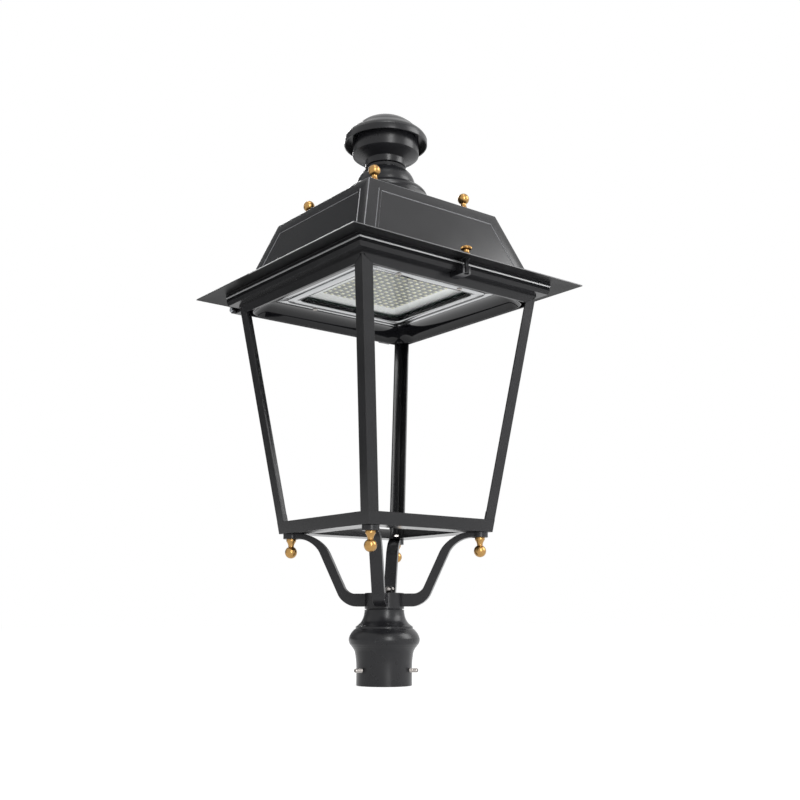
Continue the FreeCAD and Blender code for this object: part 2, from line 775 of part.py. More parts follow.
def make_corner_cleats():
    """Angle pieces inside the cage that join each leg to the lower rail."""
    low = Z_WINDOW_BOTTOM - CLEAT_REACH + 1
    edge = cage_half(low) - LEG_WALL
    face = LEG_FACE - LEG_WALL - 1
    wall = CLEAT_WALL
    points = ((-edge, -edge), (-edge + face, -edge), (-edge + face, -edge + wall),
              (-edge + wall, -edge + wall), (-edge + wall, -edge + face), (-edge, -edge + face))
    cleat = slanted_bar(points, low, Z_WINDOW_BOTTOM + CLEAT_REACH)
    return [turn_about_axis(cleat, angle) for angle in (0, 90, 180, 270)]


def make_upper_frame():
    """Square rail with a stepped cornice outside and a ledge inside for the lamp tray."""
    frame = square_ring([
        (HEAD_INSIDE, Z_WINDOW_TOP),
        (HEAD_HALF, Z_WINDOW_TOP),
        (RAIL_HEAD, Z_LEDGE - 2 * LEDGE_THICK),
        (RAIL_HEAD, Z_LEDGE - LEDGE_THICK),
        (CORNICE_LOW, Z_LEDGE - LEDGE_THICK),
        (CORNICE_OUT, Z_PARTING - CORNICE_FACE),
        (CORNICE_OUT, Z_PARTING),
        (LEDGE_OUTSIDE, Z_PARTING),
        (LEDGE_OUTSIDE, Z_LEDGE),
        (LEDGE_INSIDE, Z_LEDGE),
    ])
    notch = both_faces(leg_plate(Z_WINDOW_TOP - 5, 2.0, LEG_WALL + 1.6))
    for angle in (0, 90, 180, 270):
        frame = frame.cut(turn_about_axis(notch, angle))
    for x, y in rim_screw_places():
        frame = frame.cut(rod(M4_HOLE_R, Z_LEDGE - LEDGE_THICK, Z_LEDGE + 1, x, y))
    for side in SIDES:
        hole = rod(M4_HOLE_R, Z_LEDGE - LEDGE_THICK - 1, Z_PARTING - 3, side * HINGE_X, BRACKET_SCREW_Y)
        frame = frame.cut(hole)
    return [frame]


def make_closing_lug():
    """Forked lug on the front rail; the closing screw stands in the fork."""
    back = -CORNICE_OUT
    lug = prism_yz([(back, LUG_TOP), (-LUG_FRONT, LUG_TOP), (-LUG_FRONT, LUG_BOTTOM), (-RAIL_HEAD, LUG_BOTTOM),
                    (-RAIL_HEAD, Z_LEDGE - LEDGE_THICK), (-CORNICE_LOW, Z_LEDGE - LEDGE_THICK),
                    (back, Z_PARTING - CORNICE_FACE)], -LUG_HALF, LUG_HALF)
    slot = box(-LUG_SLOT_HALF, LUG_SLOT_HALF, -LUG_FRONT - 1, CLOSER_Y, LUG_BOTTOM - 1, LUG_TOP + 1)
    round_end = rod(LUG_SLOT_HALF, LUG_BOTTOM - 1, LUG_TOP + 1, 0, CLOSER_Y)
    return [lug.cut(slot.fuse(round_end))]


# Hinges

def make_hinge_brackets():
    """Blocks screwed under the cornice, with a round knuckle that holds the pin."""
    result = []
    low = HINGE_Z - KNUCKLE_R
    for side in SIDES:
        x0 = side * HINGE_X - BRACKET_WIDE / 2
        x1 = x0 + BRACKET_WIDE
        block = prism_yz([(CORNICE_OUT, Z_PARTING - 1), (HINGE_Y - 8, Z_PARTING - 1), (HINGE_Y, HINGE_Z + KNUCKLE_R),
                          (HINGE_Y, low), (RAIL_HEAD + 2, low),
                          (RAIL_HEAD + 2, Z_LEDGE - LEDGE_THICK), (CORNICE_LOW, Z_LEDGE - LEDGE_THICK),
                          (CORNICE_OUT, Z_PARTING - CORNICE_FACE)], x0, x1)
        bracket = block.fuse(rod_x(KNUCKLE_R, x0, x1, HINGE_Y, HINGE_Z)).removeSplitter()
        bracket = bracket.cut(rod_x(PIN_BRACKET_R, x0 - 1, x1 + 1, HINGE_Y, HINGE_Z))
        bracket = bracket.cut(rod(M4_HOLE_R, low - 1, Z_LEDGE, side * HINGE_X, BRACKET_SCREW_Y))
        result.append(bracket)
    return result


def ear_reach():
    return BRACKET_WIDE / 2 + EAR_GAP + EAR_WIDE


def make_hinge_pins():
    """Headed pins with a retaining ring at the other end."""
    result = []
    reach = ear_reach() + EAR_GAP
    for side in SIDES:
        low = side * HINGE_X - reach - PIN_HEAD_HIGH
        high = side * HINGE_X + reach + PIN_HEAD_HIGH
        pin = rod_x(PIN_R, low, high, HINGE_Y, HINGE_Z)
        pin = pin.fuse(rod_x(PIN_HEAD_R, low, low + PIN_HEAD_HIGH, HINGE_Y, HINGE_Z))
        ring = rod_x(PIN_HEAD_R, high - PIN_HEAD_HIGH, high - PIN_HEAD_HIGH + PIN_RING_HIGH, HINGE_Y, HINGE_Z)
        result.append(pin.fuse(ring).removeSplitter())
    return result


def make_hinge_bracket_screws():
    low = HINGE_Z - KNUCKLE_R
    result = []
    for side in SIDES:
        head = rod(M4_HEAD_R, low - M4_HEAD_HIGH, low, side * HINGE_X, BRACKET_SCREW_Y)
        shank = rod(M4_R, low - 1, Z_PARTING - 4, side * HINGE_X, BRACKET_SCREW_Y)
        result.append(head.fuse(shank).removeSplitter())
    return result


def make_hinge_leaves():
    """Plate under the skirt with two ears that hang down over the pin."""
    result = []
    reach = ear_reach()
    back = HINGE_Y - LEAF_BACK
    front = HINGE_Y + LEAF_FRONT
    for side in SIDES:
        centre = side * HINGE_X
        leaf = prism_yz([(back, skirt_under(back)), (front, skirt_under(front)), (front, skirt_under(front) - LEAF_THICK),
                         (back, skirt_under(back) - LEAF_THICK)], centre - reach, centre + reach)
        for ear in SIDES:
            x0 = centre + ear * (reach - EAR_WIDE / 2) - EAR_WIDE / 2
            web = prism_yz([(HINGE_Y - KNUCKLE_R, HINGE_Z), (HINGE_Y + KNUCKLE_R, HINGE_Z),
                            (HINGE_Y + KNUCKLE_R, skirt_under(HINGE_Y + KNUCKLE_R) - 1),
                            (HINGE_Y - KNUCKLE_R, skirt_under(HINGE_Y - KNUCKLE_R) - 1)], x0, x0 + EAR_WIDE)
            leaf = leaf.fuse(web)
            leaf = leaf.fuse(rod_x(KNUCKLE_R, x0, x0 + EAR_WIDE, HINGE_Y, HINGE_Z))
        leaf = leaf.cut(rod_x(PIN_EAR_R, centre - reach - 1, centre + reach + 1, HINGE_Y, HINGE_Z))
        result.append(leaf.removeSplitter())
    return result


def make_roof_gasket():
    """Square seal on the upper rail, inside the band of the roof."""
    out = GASKET_IN + GASKET_WIDE
    top = Z_PARTING + GASKET_HIGH
    return [square_ring([(GASKET_IN, Z_PARTING), (out, Z_PARTING), (out, top), (GASKET_IN, top)])]


# Lamp tray and lamp stack

def tray_void(profile, low, high):
    """Rounded-square hollow: the profile swept along four sides and round four corners."""
    shape = box(-TRAY_FLAT, TRAY_FLAT, -TRAY_FLAT, TRAY_FLAT, low, high)
    wire = Part.Wire([run_edge(run) for run in profile])
    side = Part.Face(wire)
    side.translate(V(0, -TRAY_FLAT, 0))
    side = side.extrude(V(0, 2 * TRAY_FLAT, 0))
    for angle in (0, 90, 180, 270):
        shape = shape.fuse(turn_about_axis(side, angle))
    local = [[(r - TRAY_FLAT, z) for r, z in run] for run in profile]
    for x, y in four_corners(TRAY_FLAT):
        shape = shape.fuse(turned(local, x, y))
    return shape.removeSplitter()


def cove_arc(offset, outer, flat_z):
    """Arc from the flat of the tray down to the lip at half-width outer."""
    run = TRAY_LIP_IN - TRAY_FLAT
    drop = TRAY_FLAT_Z - TRAY_LIP_Z
    radius = (run ** 2 + drop ** 2) / 2 / drop
    centre_z = TRAY_FLAT_Z - radius
    radius = radius + offset
    reach = outer - TRAY_FLAT
    end_z = centre_z + math.sqrt(radius ** 2 - reach ** 2)
    middle = math.asin(reach / radius) / 2
    mid = (TRAY_FLAT + radius * math.sin(middle), centre_z + radius * math.cos(middle))
    return [(TRAY_FLAT, flat_z), mid, (outer, end_z)]


def make_led_tray():
    """Dished tray: flat centre with a round-cornered opening, cove down to a lip inside the rail."""
    rim_top = Z_LEDGE + TRAY_RIM_THICK
    body = rounded_block(TRAY_LIP_OUT, TRAY_LIP_OUT - TRAY_FLAT, TRAY_LIP_Z, rim_top)
    body = body.fuse(box(-TRAY_RIM, TRAY_RIM, -TRAY_RIM, TRAY_RIM, Z_LEDGE, rim_top))
    body = body.fuse(box(-TRAY_FLAT, TRAY_FLAT, -TRAY_FLAT, TRAY_FLAT, rim_top - 1, TRAY_FLAT_Z + TRAY_SHEET))
    body = body.fuse(rounded_block(TRAY_COLLAR, OPENING_CORNER + COLLAR_WALL, rim_top, TRAY_COLLAR_Z))
    under = cove_arc(0, TRAY_LIP_IN, TRAY_FLAT_Z)
    low_profile = [
        under,
        [(TRAY_LIP_IN, TRAY_LIP_Z), (TRAY_LIP_IN, TRAY_LIP_Z - 2)],
        [(TRAY_LIP_IN, TRAY_LIP_Z - 2), (TRAY_FLAT, TRAY_LIP_Z - 2)],
        [(TRAY_FLAT, TRAY_LIP_Z - 2), (TRAY_FLAT, TRAY_FLAT_Z)],
    ]
    body = body.cut(tray_void(low_profile, TRAY_LIP_Z - 2, TRAY_FLAT_Z))
    inner = TRAY_LIP_OUT - TRAY_SHEET
    over = cove_arc(TRAY_SHEET, inner, TRAY_FLAT_Z + TRAY_SHEET)
    top = TRAY_COLLAR_Z + 1
    high_profile = [
        over,
        [(inner, over[2][1]), (inner, top)],
        [(inner, top), (TRAY_FLAT, top)],
        [(TRAY_FLAT, top), (TRAY_FLAT, TRAY_FLAT_Z + TRAY_SHEET)],
    ]
    hollow = tray_void(high_profile, TRAY_FLAT_Z + TRAY_SHEET, top)
    middle = box(-TRAY_FLAT + 1, TRAY_FLAT - 1, -TRAY_FLAT + 1, TRAY_FLAT - 1, TRAY_FLAT_Z, top + 1)
    body = body.cut(hollow.cut(middle))
    body = body.cut(rounded_block(TRAY_OPENING, OPENING_CORNER, TRAY_LIP_Z, top))
    for x, y in tray_screw_places():
        body = body.cut(rod(M4_HOLE_R, TRAY_LIP_Z, top, x, y))
    for x, y in rim_screw_places():
        body = body.cut(rod(M4_HOLE_R, Z_LEDGE - 1, rim_top + 1, x, y))
    body = body.cut(rod(GLAND_HOLE_R, Z_LEDGE - 1, rim_top + 1, GLAND_HALF, GLAND_HALF))
    return [body.removeSplitter()]


def rim_screw_places():
    return ((0, -RIM_SCREW_HALF), (RIM_SCREW_HALF, 0), (0, RIM_SCREW_HALF), (-RIM_SCREW_HALF, 0))


def tray_screw_places():
    front_y = -TRAY_OPENING - FRONT_SCREW_GAP
    back_y = TRAY_OPENING + BACK_SCREW_GAP
    return ((-FRONT_SCREW_X, front_y), (FRONT_SCREW_X, front_y), (-BACK_SCREW_X, back_y), (BACK_SCREW_X, back_y))


def make_rim_screws():
    low = Z_LEDGE + TRAY_RIM_THICK
    result = []
    for x, y in rim_screw_places():
        screw = rod(M4_HEAD_R, low, low + M4_HEAD_HIGH, x, y).fuse(rod(M4_R, Z_LEDGE - 2.3, low + 1, x, y))
        result.append(screw.removeSplitter())
    return result


def stack_heights():
    """Heights of the glass underside, spacer, board, heat sink and gear plate, from the tray collar up."""
    glass = TRAY_COLLAR_Z + GASKET_THICK
    spacer = glass + GLASS_THICK
    board = spacer + SPACER_THICK
    sink = board + BOARD_THICK
    gear = sink + SINK_THICK + FIN_HIGH + GEAR_GAP
    return glass, spacer, board, sink, gear


def make_tray_screws():
    glass, spacer, board, sink, gear = stack_heights()
    result = []
    for x, y in tray_screw_places():
        head = rod(M4_HEAD_R + 0.4, TRAY_FLAT_Z - M4_HEAD_HIGH, TRAY_FLAT_Z, x, y)
        shank = rod(M4_R, TRAY_FLAT_Z - 0.5, sink + SINK_THICK - 1, x, y)
        result.append(head.fuse(shank).removeSplitter())
    return result


def make_tray_pillars():
    """Spacer tubes that carry the heat sink on the tray."""
    glass, spacer, board, sink, gear = stack_heights()
    low = TRAY_FLAT_Z + TRAY_SHEET
    return [rod(PILLAR_R, low, sink, x, y).cut(rod(M4_HOLE_R, low - 1, sink + 1, x, y))
            for x, y in tray_screw_places()]


def flat_ring(inner, outer, z0, z1):
    return box(-outer, outer, -outer, outer, z0, z1).cut(box(-inner, inner, -inner, inner, z0 - 1, z1 + 1))


def make_glass_gasket():
    glass, spacer, board, sink, gear = stack_heights()
    return [rounded_ring(TRAY_OPENING + 1, OPENING_CORNER, GLASS_LAP - 1, TRAY_COLLAR_Z, glass)]


def make_glass_cover():
    glass, spacer, board, sink, gear = stack_heights()
    return [rounded_block(GLASS_HALF, OPENING_CORNER, glass, spacer)]


def make_spacer_frame():
    glass, spacer, board, sink, gear = stack_heights()
    return [rounded_ring(TRAY_OPENING, OPENING_CORNER, GLASS_LAP, spacer, board)]


def make_reflector_plate():
    """White sheet round the lamp board."""
    glass, spacer, board, sink, gear = stack_heights()
    return [flat_ring(BOARD_HALF + BOARD_FIT, GLASS_HALF, board, sink)]


def make_led_board():
    glass, spacer, board, sink, gear = stack_heights()
    return [box(-BOARD_HALF, BOARD_HALF, -BOARD_HALF, BOARD_HALF, board, sink)]


def make_led_chips():
    """Square light sources in rows, soldered under the board."""
    glass, spacer, board, sink, gear = stack_heights()
    result = []
    first = -CHIP_PITCH * (CHIP_COUNT - 1) / 2
    half = CHIP_SIZE / 2
    for i in range(CHIP_COUNT):
        for j in range(CHIP_COUNT):
            x = first + i * CHIP_PITCH
            y = first + j * CHIP_PITCH
            result.append(box(x - half, x + half, y - half, y + half, board - CHIP_THICK, board))
    return result


def make_heat_sink():
    """Base plate with upright fins."""
    glass, spacer, board, sink, gear = stack_heights()
    top = sink + SINK_THICK
    half = TRAY_OPENING + SINK_LAP
    front = -TRAY_OPENING - FRONT_SCREW_GAP - SINK_SCREW_MARGIN
    back = TRAY_OPENING + BACK_SCREW_GAP + SINK_SCREW_MARGIN
    body = box(-half, half, front, back, sink, top)
    for k in range(FIN_COUNT):
        x = (k - (FIN_COUNT - 1) / 2) * FIN_PITCH
        body = body.fuse(box(x - FIN_THICK / 2, x + FIN_THICK / 2, -FIN_HALF_Y, FIN_HALF_Y, top, top + FIN_HIGH))
    for x, y in tray_screw_places():
        body = body.cut(rod(M4_HOLE_R, sink - 1, top - 0.7, x, y))
    for x, y in standoff_places():
        body = body.cut(rod(M4_HOLE_R, sink + 1, top + 1, x, y))
    return [body.removeSplitter()]


# Control gear

def standoff_places():
    return ((-STANDOFF_X, -STANDOFF_Y), (STANDOFF_X, -STANDOFF_Y), (STANDOFF_X, STANDOFF_Y), (-STANDOFF_X, STANDOFF_Y))


def make_gear_standoffs():
    glass, spacer, board, sink, gear = stack_heights()
    low = sink + SINK_THICK
    result = []
    for x, y in standoff_places():
        pillar = hexagon(STANDOFF_FLATS, low, gear, x, y)
        pillar = pillar.cut(rod(M4_HOLE_R, gear - 10, gear + 1, x, y))
        result.append(pillar.fuse(rod(M4_R, sink + 1.3, low + 1, x, y)).removeSplitter())
    return result


def driver_screw_places():
    middle = (DRIVER_FRONT + DRIVER_BACK) / 2
    out = DRIVER_HALF + DRIVER_TAB / 2
    return ((-out, middle), (out, middle))


def gear_top():
    return stack_heights()[4] + GEAR_PLATE_THICK


def make_gear_plate():
    glass, spacer, board, sink, gear = stack_heights()
    plate = box(-GEAR_PLATE_X, GEAR_PLATE_X, -GEAR_PLATE_Y, GEAR_PLATE_Y, gear, gear + GEAR_PLATE_THICK)
    for x, y in standoff_places() + driver_screw_places():
        plate = plate.cut(rod(M4_HOLE_R, gear - 1, gear + GEAR_PLATE_THICK + 1, x, y))
    return [plate]


def make_driver():
    """Sealed driver case with a fixing tab at each end and a sunk lid."""
    low = gear_top()
    case = box(-DRIVER_HALF, DRIVER_HALF, DRIVER_FRONT, DRIVER_BACK, low, low + DRIVER_HIGH)
    edge = DRIVER_LID_EDGE
    lid = box(-DRIVER_HALF + edge, DRIVER_HALF - edge, DRIVER_FRONT + edge, DRIVER_BACK - edge,
              low + DRIVER_HIGH - DRIVER_LID_DEEP, low + DRIVER_HIGH + 1)
    case = case.cut(lid)
    middle = (DRIVER_FRONT + DRIVER_BACK) / 2
    out = DRIVER_HALF + DRIVER_TAB
    wide = DRIVER_TAB_HALF_WIDE
    driver = case.fuse(box(-out, out, middle - wide, middle + wide, low, low + DRIVER_TAB_THICK)).removeSplitter()
    for x, y in driver_screw_places():
        driver = driver.cut(rod(M4_HOLE_R, low - 1, low + DRIVER_TAB_THICK + 1, x, y))
    return [driver]


def make_gear_screws():
    """Hexagon screws of the gear plate and of the driver tabs."""
    top = gear_top()
    result = []
    for x, y in standoff_places():
        head = hexagon(M4_HEAD_FLATS, top, top + M4_HEAD_HIGH, x, y)
        result.append(head.fuse(rod(M4_R, top - 8, top + 1, x, y)).removeSplitter())
    for x, y in driver_screw_places():
        seat = top + DRIVER_TAB_THICK
        head = hexagon(M4_HEAD_FLATS, seat, seat + M4_HEAD_HIGH, x, y)
        result.append(head.fuse(rod(M4_R, top - GEAR_PLATE_THICK, seat + 1, x, y)).removeSplitter())
    return result


def make_terminal_block():
    """Block with a wire way and a screw well for each pole."""
    low = gear_top()
    front, back = TERMINAL_Y
    half = TERMINAL_POLES * TERMINAL_PITCH / 2
    block = box(-half, half, front, back, low, low + TERMINAL_HIGH)
    way = TERMINAL_WAY / 2
    centre = low + TERMINAL_WAY_RISE
    for k in range(TERMINAL_POLES):
        x = (k - (TERMINAL_POLES - 1) / 2) * TERMINAL_PITCH
        block = block.cut(box(x - way, x + way, front - 1, back + 1, centre - way, centre + way))
        block = block.cut(box(x - way, x + way, front + 3, front + 8, low + TERMINAL_HIGH - 5, low + TERMINAL_HIGH + 1))
        block = block.cut(box(x - way, x + way, back - 8, back - 3, low + TERMINAL_HIGH - 5, low + TERMINAL_HIGH + 1))
    return [block]


def make_surge_protector():
    """Moulded case with a sunk lid."""
    low = gear_top()
    left, right = SURGE_X
    front, back = SURGE_Y
    edge = SURGE_LID_EDGE
    case = box(left, right, front, back, low, low + SURGE_HIGH)
    lid_z = low + SURGE_HIGH - SURGE_LID_DEEP
    lid = box(left + edge, right - edge, front + edge, back - edge, lid_z, low + SURGE_HIGH + 1)
    return [case.cut(lid)]


def make_cable_gland():
    """Small gland through the tray rim for the supply lead."""
    x = GLAND_HALF
    head = hexagon(GLAND_FLATS, Z_LEDGE - GLAND_DROP, Z_LEDGE, x, x)
    body = head.fuse(rod(GLAND_R, Z_LEDGE - 1, Z_LEDGE + GLAND_RISE, x, x))
    return [body.cut(rod(GLAND_BORE_R, Z_LEDGE - GLAND_DROP - 1, Z_LEDGE + GLAND_RISE + 1, x, x)).removeSplitter()]


def make_gland_nut():
    low = Z_LEDGE + TRAY_RIM_THICK
    return [nut(GLAND_NUT_FLATS, GLAND_HOLE_R, low, low + GLAND_NUT_HIGH, GLAND_HALF, GLAND_HALF)]


# Roof

def make_roof_skirt():
    """Overhanging square skirt with a drip edge and an inner band that covers the joint."""
    hood_foot = hood_half(Z_SKIRT_TOP)
    inner = hood_foot - HOOD_WALL - 0.3
    skirt = square_ring([
        (EAVE_HALF, EAVE_BOTTOM),
        (EAVE_HALF, EAVE_BOTTOM + EAVE_THICK),
        (hood_foot, Z_SKIRT_TOP),
        (inner, Z_SKIRT_TOP),
        (inner, Z_SKIRT_TOP - SKIRT_WALL),
        (BAND_IN, skirt_under(BAND_IN)),
        (BAND_IN, BAND_BOTTOM),
        (BAND_OUT - BAND_BEVEL, BAND_BOTTOM),
        (BAND_OUT, BAND_BOTTOM + BAND_BEVEL),
        (BAND_OUT, skirt_under(BAND_OUT)),
    ])
    boss = rod(CLOSER_BOSS_R, skirt_under(CLOSER_Y * -1) + 1, CLOSER_BOSS_Z, 0, CLOSER_Y)
    skirt = skirt.fuse(boss)
    skirt = skirt.cut(rod(CLOSER_HOLE_R, EAVE_BOTTOM, CLOSER_BOSS_Z + 1, 0, CLOSER_Y))
    return [skirt.removeSplitter()]


def bead(angle):
    """Raised strip that borders one hood panel at the left, the top and the right."""
    top = Z_ROOF_TOP - BEAD_DROP
    low = Z_SKIRT_TOP + 0.2
    inner_top = top - BEAD_WIDE * 0.95
    inset = BEAD_INSET
    wide = BEAD_INSET + BEAD_WIDE
    outer = [(-(hood_half(low) - inset), low), (-(hood_half(top) - inset), top),
             (hood_half(top) - inset, top), (hood_half(low) - inset, low)]
    inner = [(hood_half(low) - wide, low), (hood_half(inner_top) - wide, inner_top),
             (-(hood_half(inner_top) - wide), inner_top), (-(hood_half(low) - wide), low)]
    points = [V(x, -hood_half(z), z) for x, z in outer + inner]
    points.append(points[0])
    normal = V(0, -1, HOOD_SLOPE).normalize()
    strip = Part.Face(Part.makePolygon(points)).extrude(normal * (BEAD_PROUD + 0.5))
    strip.translate(normal * -0.5)
    return turn_about_axis(strip, angle)


def upper_ball_half():
    return hood_half(Z_ROOF_TOP) - UPPER_BALL_INSET


def make_roof_hood():
    """Four-sided hood closed by a flat top plate."""
    outside = square_block(hood_half(Z_SKIRT_TOP), Z_SKIRT_TOP, hood_half(Z_ROOF_TOP), Z_ROOF_TOP)
    under = Z_ROOF_TOP - ROOF_PLATE
    low = Z_SKIRT_TOP - 1
    inside = square_block(hood_half(low) - HOOD_WALL, low, hood_half(under) - HOOD_WALL, under)
    hood = outside.cut(inside)
    for angle in (0, 90, 180, 270):
        hood = hood.fuse(bead(angle))
    hood = hood.cut(rod(ROD_HOLE_R, under - 1, Z_ROOF_TOP + 1))
    for x, y in four_corners(upper_ball_half()):
        hood = hood.cut(rod(M6_HOLE_R, under - 1, Z_ROOF_TOP + 1, x, y))
    return [hood.removeSplitter()]


def make_top_finial_bases():
    top = Z_ROOF_TOP + BALL_BASE_HIGH
    return [rod(BALL_FLANGE_R, Z_ROOF_TOP, top, x, y).cut(rod(M6_HOLE_R, Z_ROOF_TOP - 1, top + 1, x, y))
            for x, y in four_corners(upper_ball_half())]


def make_top_finials():
    result = []
    for x, y in four_corners(upper_ball_half()):
        ball = finial(BALL_BASE_HIGH + ROOF_PLATE + M6_NUT_HIGH + 2)
        ball.translate(V(x, y, Z_ROOF_TOP + BALL_BASE_HIGH))
        result.append(ball)
    return result


def make_top_finial_nuts():
    top = Z_ROOF_TOP - ROOF_PLATE
    return [nut(M6_NUT_FLATS, M6_HOLE_R, top - M6_NUT_HIGH, top, x, y) for x, y in four_corners(upper_ball_half())]


def make_chimney_base():
    """Flared foot, lobe, bell and ring; the hollow follows the outside a casting's wall inward."""
    outside = turned(outline_runs(lifted([
        (0, 0),
        (FOOT_R, 0),
        (FOOT_R, FOOT_EDGE),
        (FOOT_TOP_R, FOOT_TOP, FOOT_BOW),
        (GROOVE_R, FOOT_TOP),
        (GROOVE_R, GROOVE_TOP),
        (LOBE_R, GROOVE_TOP),
        (LOBE_TOP_R, LOBE_TOP, LOBE_BOW),
        (BELL_R, BELL_LOW),
        (BELL_TOP_R, BELL_TOP, BELL_BOW),
        (BASE_RING_R, BASE_RING_TOP),
        (BASE_TOP_R, BASE_RING_TOP),
        (BASE_TOP_R, BASE_TOP),
        (0, BASE_TOP),
    ], Z_ROOF_TOP)))
    wall = CAST_WALL
    inside = turned(outline_runs(lifted([
        (0, -1),
        (FOOT_R - wall, -1),
        (FOOT_R - wall, FOOT_EDGE),
        (GROOVE_R - wall, FOOT_TOP - wall, FOOT_BOW),
        (GROOVE_R - wall, GROOVE_TOP + wall),
        (BELL_R - wall, LOBE_TOP - 0.5 * wall, LOBE_BOW),
        (BELL_TOP_R - wall, BELL_TOP - wall, BELL_BOW),
        (BELL_TOP_R - wall, BASE_TOP - wall),
        (0, BASE_TOP - wall),
    ], Z_ROOF_TOP)))
    return [outside.cut(inside).cut(rod(ROD_HOLE_R, Z_ROOF_TOP + BELL_TOP, Z_ROOF_TOP + BASE_TOP + 1))]


def make_chimney_bowl():
    """Collar and bowl that open into the drum under the cap."""
    outside = turned(outline_runs(lifted([
        (0, BASE_TOP),
        (COLLAR_R, BASE_TOP),
        (COLLAR_R, COLLAR_TOP),
        (DRUM_R, DRUM_LOW, FLARE_OUT_BOW),
        (DRUM_R, DRUM_TOP),
        (0, DRUM_TOP),
    ], Z_ROOF_TOP)))
    wall = DRUM_WALL
    inside = turned(outline_runs(lifted([
        (0, BASE_TOP + wall),
        (COLLAR_R - wall, BASE_TOP + wall),
        (COLLAR_R - wall, COLLAR_TOP + 0.7 * wall),
        (DRUM_R - wall, DRUM_LOW + 0.5 * wall, FLARE_OUT_BOW),
        (DRUM_R - wall, DRUM_TOP + 1),
        (0, DRUM_TOP + 1),
    ], Z_ROOF_TOP)))
    return [outside.cut(inside).cut(rod(ROD_HOLE_R, Z_ROOF_TOP + BASE_TOP - 1, Z_ROOF_TOP + BASE_TOP + wall + 1))]


def crown_bow(radius, rise):
    """Bow of an arc that ends level on the centre line."""
    ball = (radius ** 2 + rise ** 2) / (2 * rise)
    return ball - math.sqrt(ball ** 2 - (radius ** 2 + rise ** 2) / 4)


def make_chimney_cap():
    """Domed cap with a rolled shoulder and a deep rim; it rests on the drum."""
    rim_in = CAP_R - CAP_RIM_WALL
    side_top = DRUM_TOP + CAP_HOLLOW_SIDE
    return [turned(outline_runs(lifted([
        (0, CAP_TOP - ROD_COVER + 1),
        (ROD_HOLE_R, CAP_TOP - ROD_COVER + 1),
        (ROD_HOLE_R, CAP_BOSS_LOW),
        (CAP_BOSS_R, CAP_BOSS_LOW),
        (CAP_BOSS_R + 1, CAP_TOP - 3 * CAST_WALL),
        (CAP_HOLLOW_R - 14, CAP_TOP - 5 * CAST_WALL),
        (CAP_HOLLOW_R, side_top),
        (CAP_HOLLOW_R, DRUM_TOP),
        (rim_in, DRUM_TOP),
        (rim_in, CAP_RIM_LOW),
        (CAP_R, CAP_RIM_LOW),
        (CAP_R, CAP_RIM_TOP),
        (CAP_ROLL_R, CAP_ROLL_TOP, CAP_ROLL_BOW),
        (CAP_DOME_R, CAP_DOME_LOW, CAP_COVE_BOW),
        (CAP_CROWN_R, CAP_CROWN_LOW, CAP_DOME_BOW),
        (0, CAP_TOP, crown_bow(CAP_CROWN_R, CAP_TOP - CAP_CROWN_LOW)),
    ], Z_ROOF_TOP)))]


def make_chimney_rod():
    """Threaded rod from under the roof plate to the boss in the cap."""
    return [rod(ROD_R, Z_ROOF_TOP - ROD_BELOW, Z_ROOF_TOP + CAP_TOP - ROD_COVER)]


def make_chimney_nut():
    top = Z_ROOF_TOP - ROOF_PLATE
    return [nut(ROD_NUT_FLATS, ROD_HOLE_R, top - ROD_NUT_HIGH, top)]


# Closing screw

def make_closing_screw():
    """Head, stem and flange; a retaining ring under the skirt keeps it in the roof."""
    top = CLOSER_HEAD_Z + CLOSER_HEAD_HIGH
    low = CLOSER_BOSS_Z + 0.3
    flange = low + CLOSER_FLANGE_HIGH
    screw = turned(outline_runs([
        (0, CLOSER_TIP_Z),
        (CLOSER_R - 0.8, CLOSER_TIP_Z),
        (CLOSER_R, CLOSER_TIP_Z + 1),
        (CLOSER_R, low),
        (CLOSER_FLANGE_R, low),
        (CLOSER_FLANGE_R, flange),
        (CLOSER_STEM_R, flange + 4.4, CLOSER_FLANGE_BOW),
        (CLOSER_STEM_R, CLOSER_HEAD_Z),
        (CLOSER_HEAD_R - 0.8, CLOSER_HEAD_Z),
        (CLOSER_HEAD_R, CLOSER_HEAD_Z + 0.8),
        (CLOSER_HEAD_R, top - 1.2),
        (CLOSER_HEAD_R - 1.2, top),
        (0, top),
    ]), 0, CLOSER_Y)
    ring_top = skirt_under(-CLOSER_Y) - 1.3
    ring = rod(CLOSER_RING_R, ring_top - CLOSER_RING_HIGH, ring_top, 0, CLOSER_Y)
    return [screw.fuse(ring).removeSplitter()]


os.makedirs("parts", exist_ok=True)

save("post_sleeve", make_post_sleeve())
save("set_screws", make_set_screws())
save("hub_washer", make_hub_washer())
save("arm_hub", make_arm_hub())
save("hub_tube", make_hub_tube())
save("hub_nut", make_hub_nut())
save("earth_screw", make_earth_screw())
save("earth_nut", make_earth_nut())
save("arm_front_left", make_arm(225))
save("arm_front_right", make_arm(315))
save("arm_back_right", make_arm(45))
save("arm_back_left", make_arm(135))
save("lower_finials", make_lower_finials())
save("lower_finial_nuts", make_lower_finial_nuts())
save("lower_frame", make_lower_frame())
save("leg_front_left", make_leg(0))
save("leg_front_right", make_leg(90))
save("leg_back_right", make_leg(180))
save("leg_back_left", make_leg(270))
save("corner_cleats", make_corner_cleats())
save("upper_frame", make_upper_frame())
save("closing_lug", make_closing_lug())
save("hinge_brackets", make_hinge_brackets())
save("hinge_pins", make_hinge_pins())
save("hinge_bracket_screws", make_hinge_bracket_screws())
save("roof_gasket", make_roof_gasket())
save("led_tray", make_led_tray())
save("rim_screws", make_rim_screws())
save("tray_screws", make_tray_screws())
save("tray_pillars", make_tray_pillars())
save("glass_gasket", make_glass_gasket())
save("glass_cover", make_glass_cover())
save("spacer_frame", make_spacer_frame())
save("reflector_plate", make_reflector_plate())
save("led_board", make_led_board())
save("led_chips", make_led_chips())
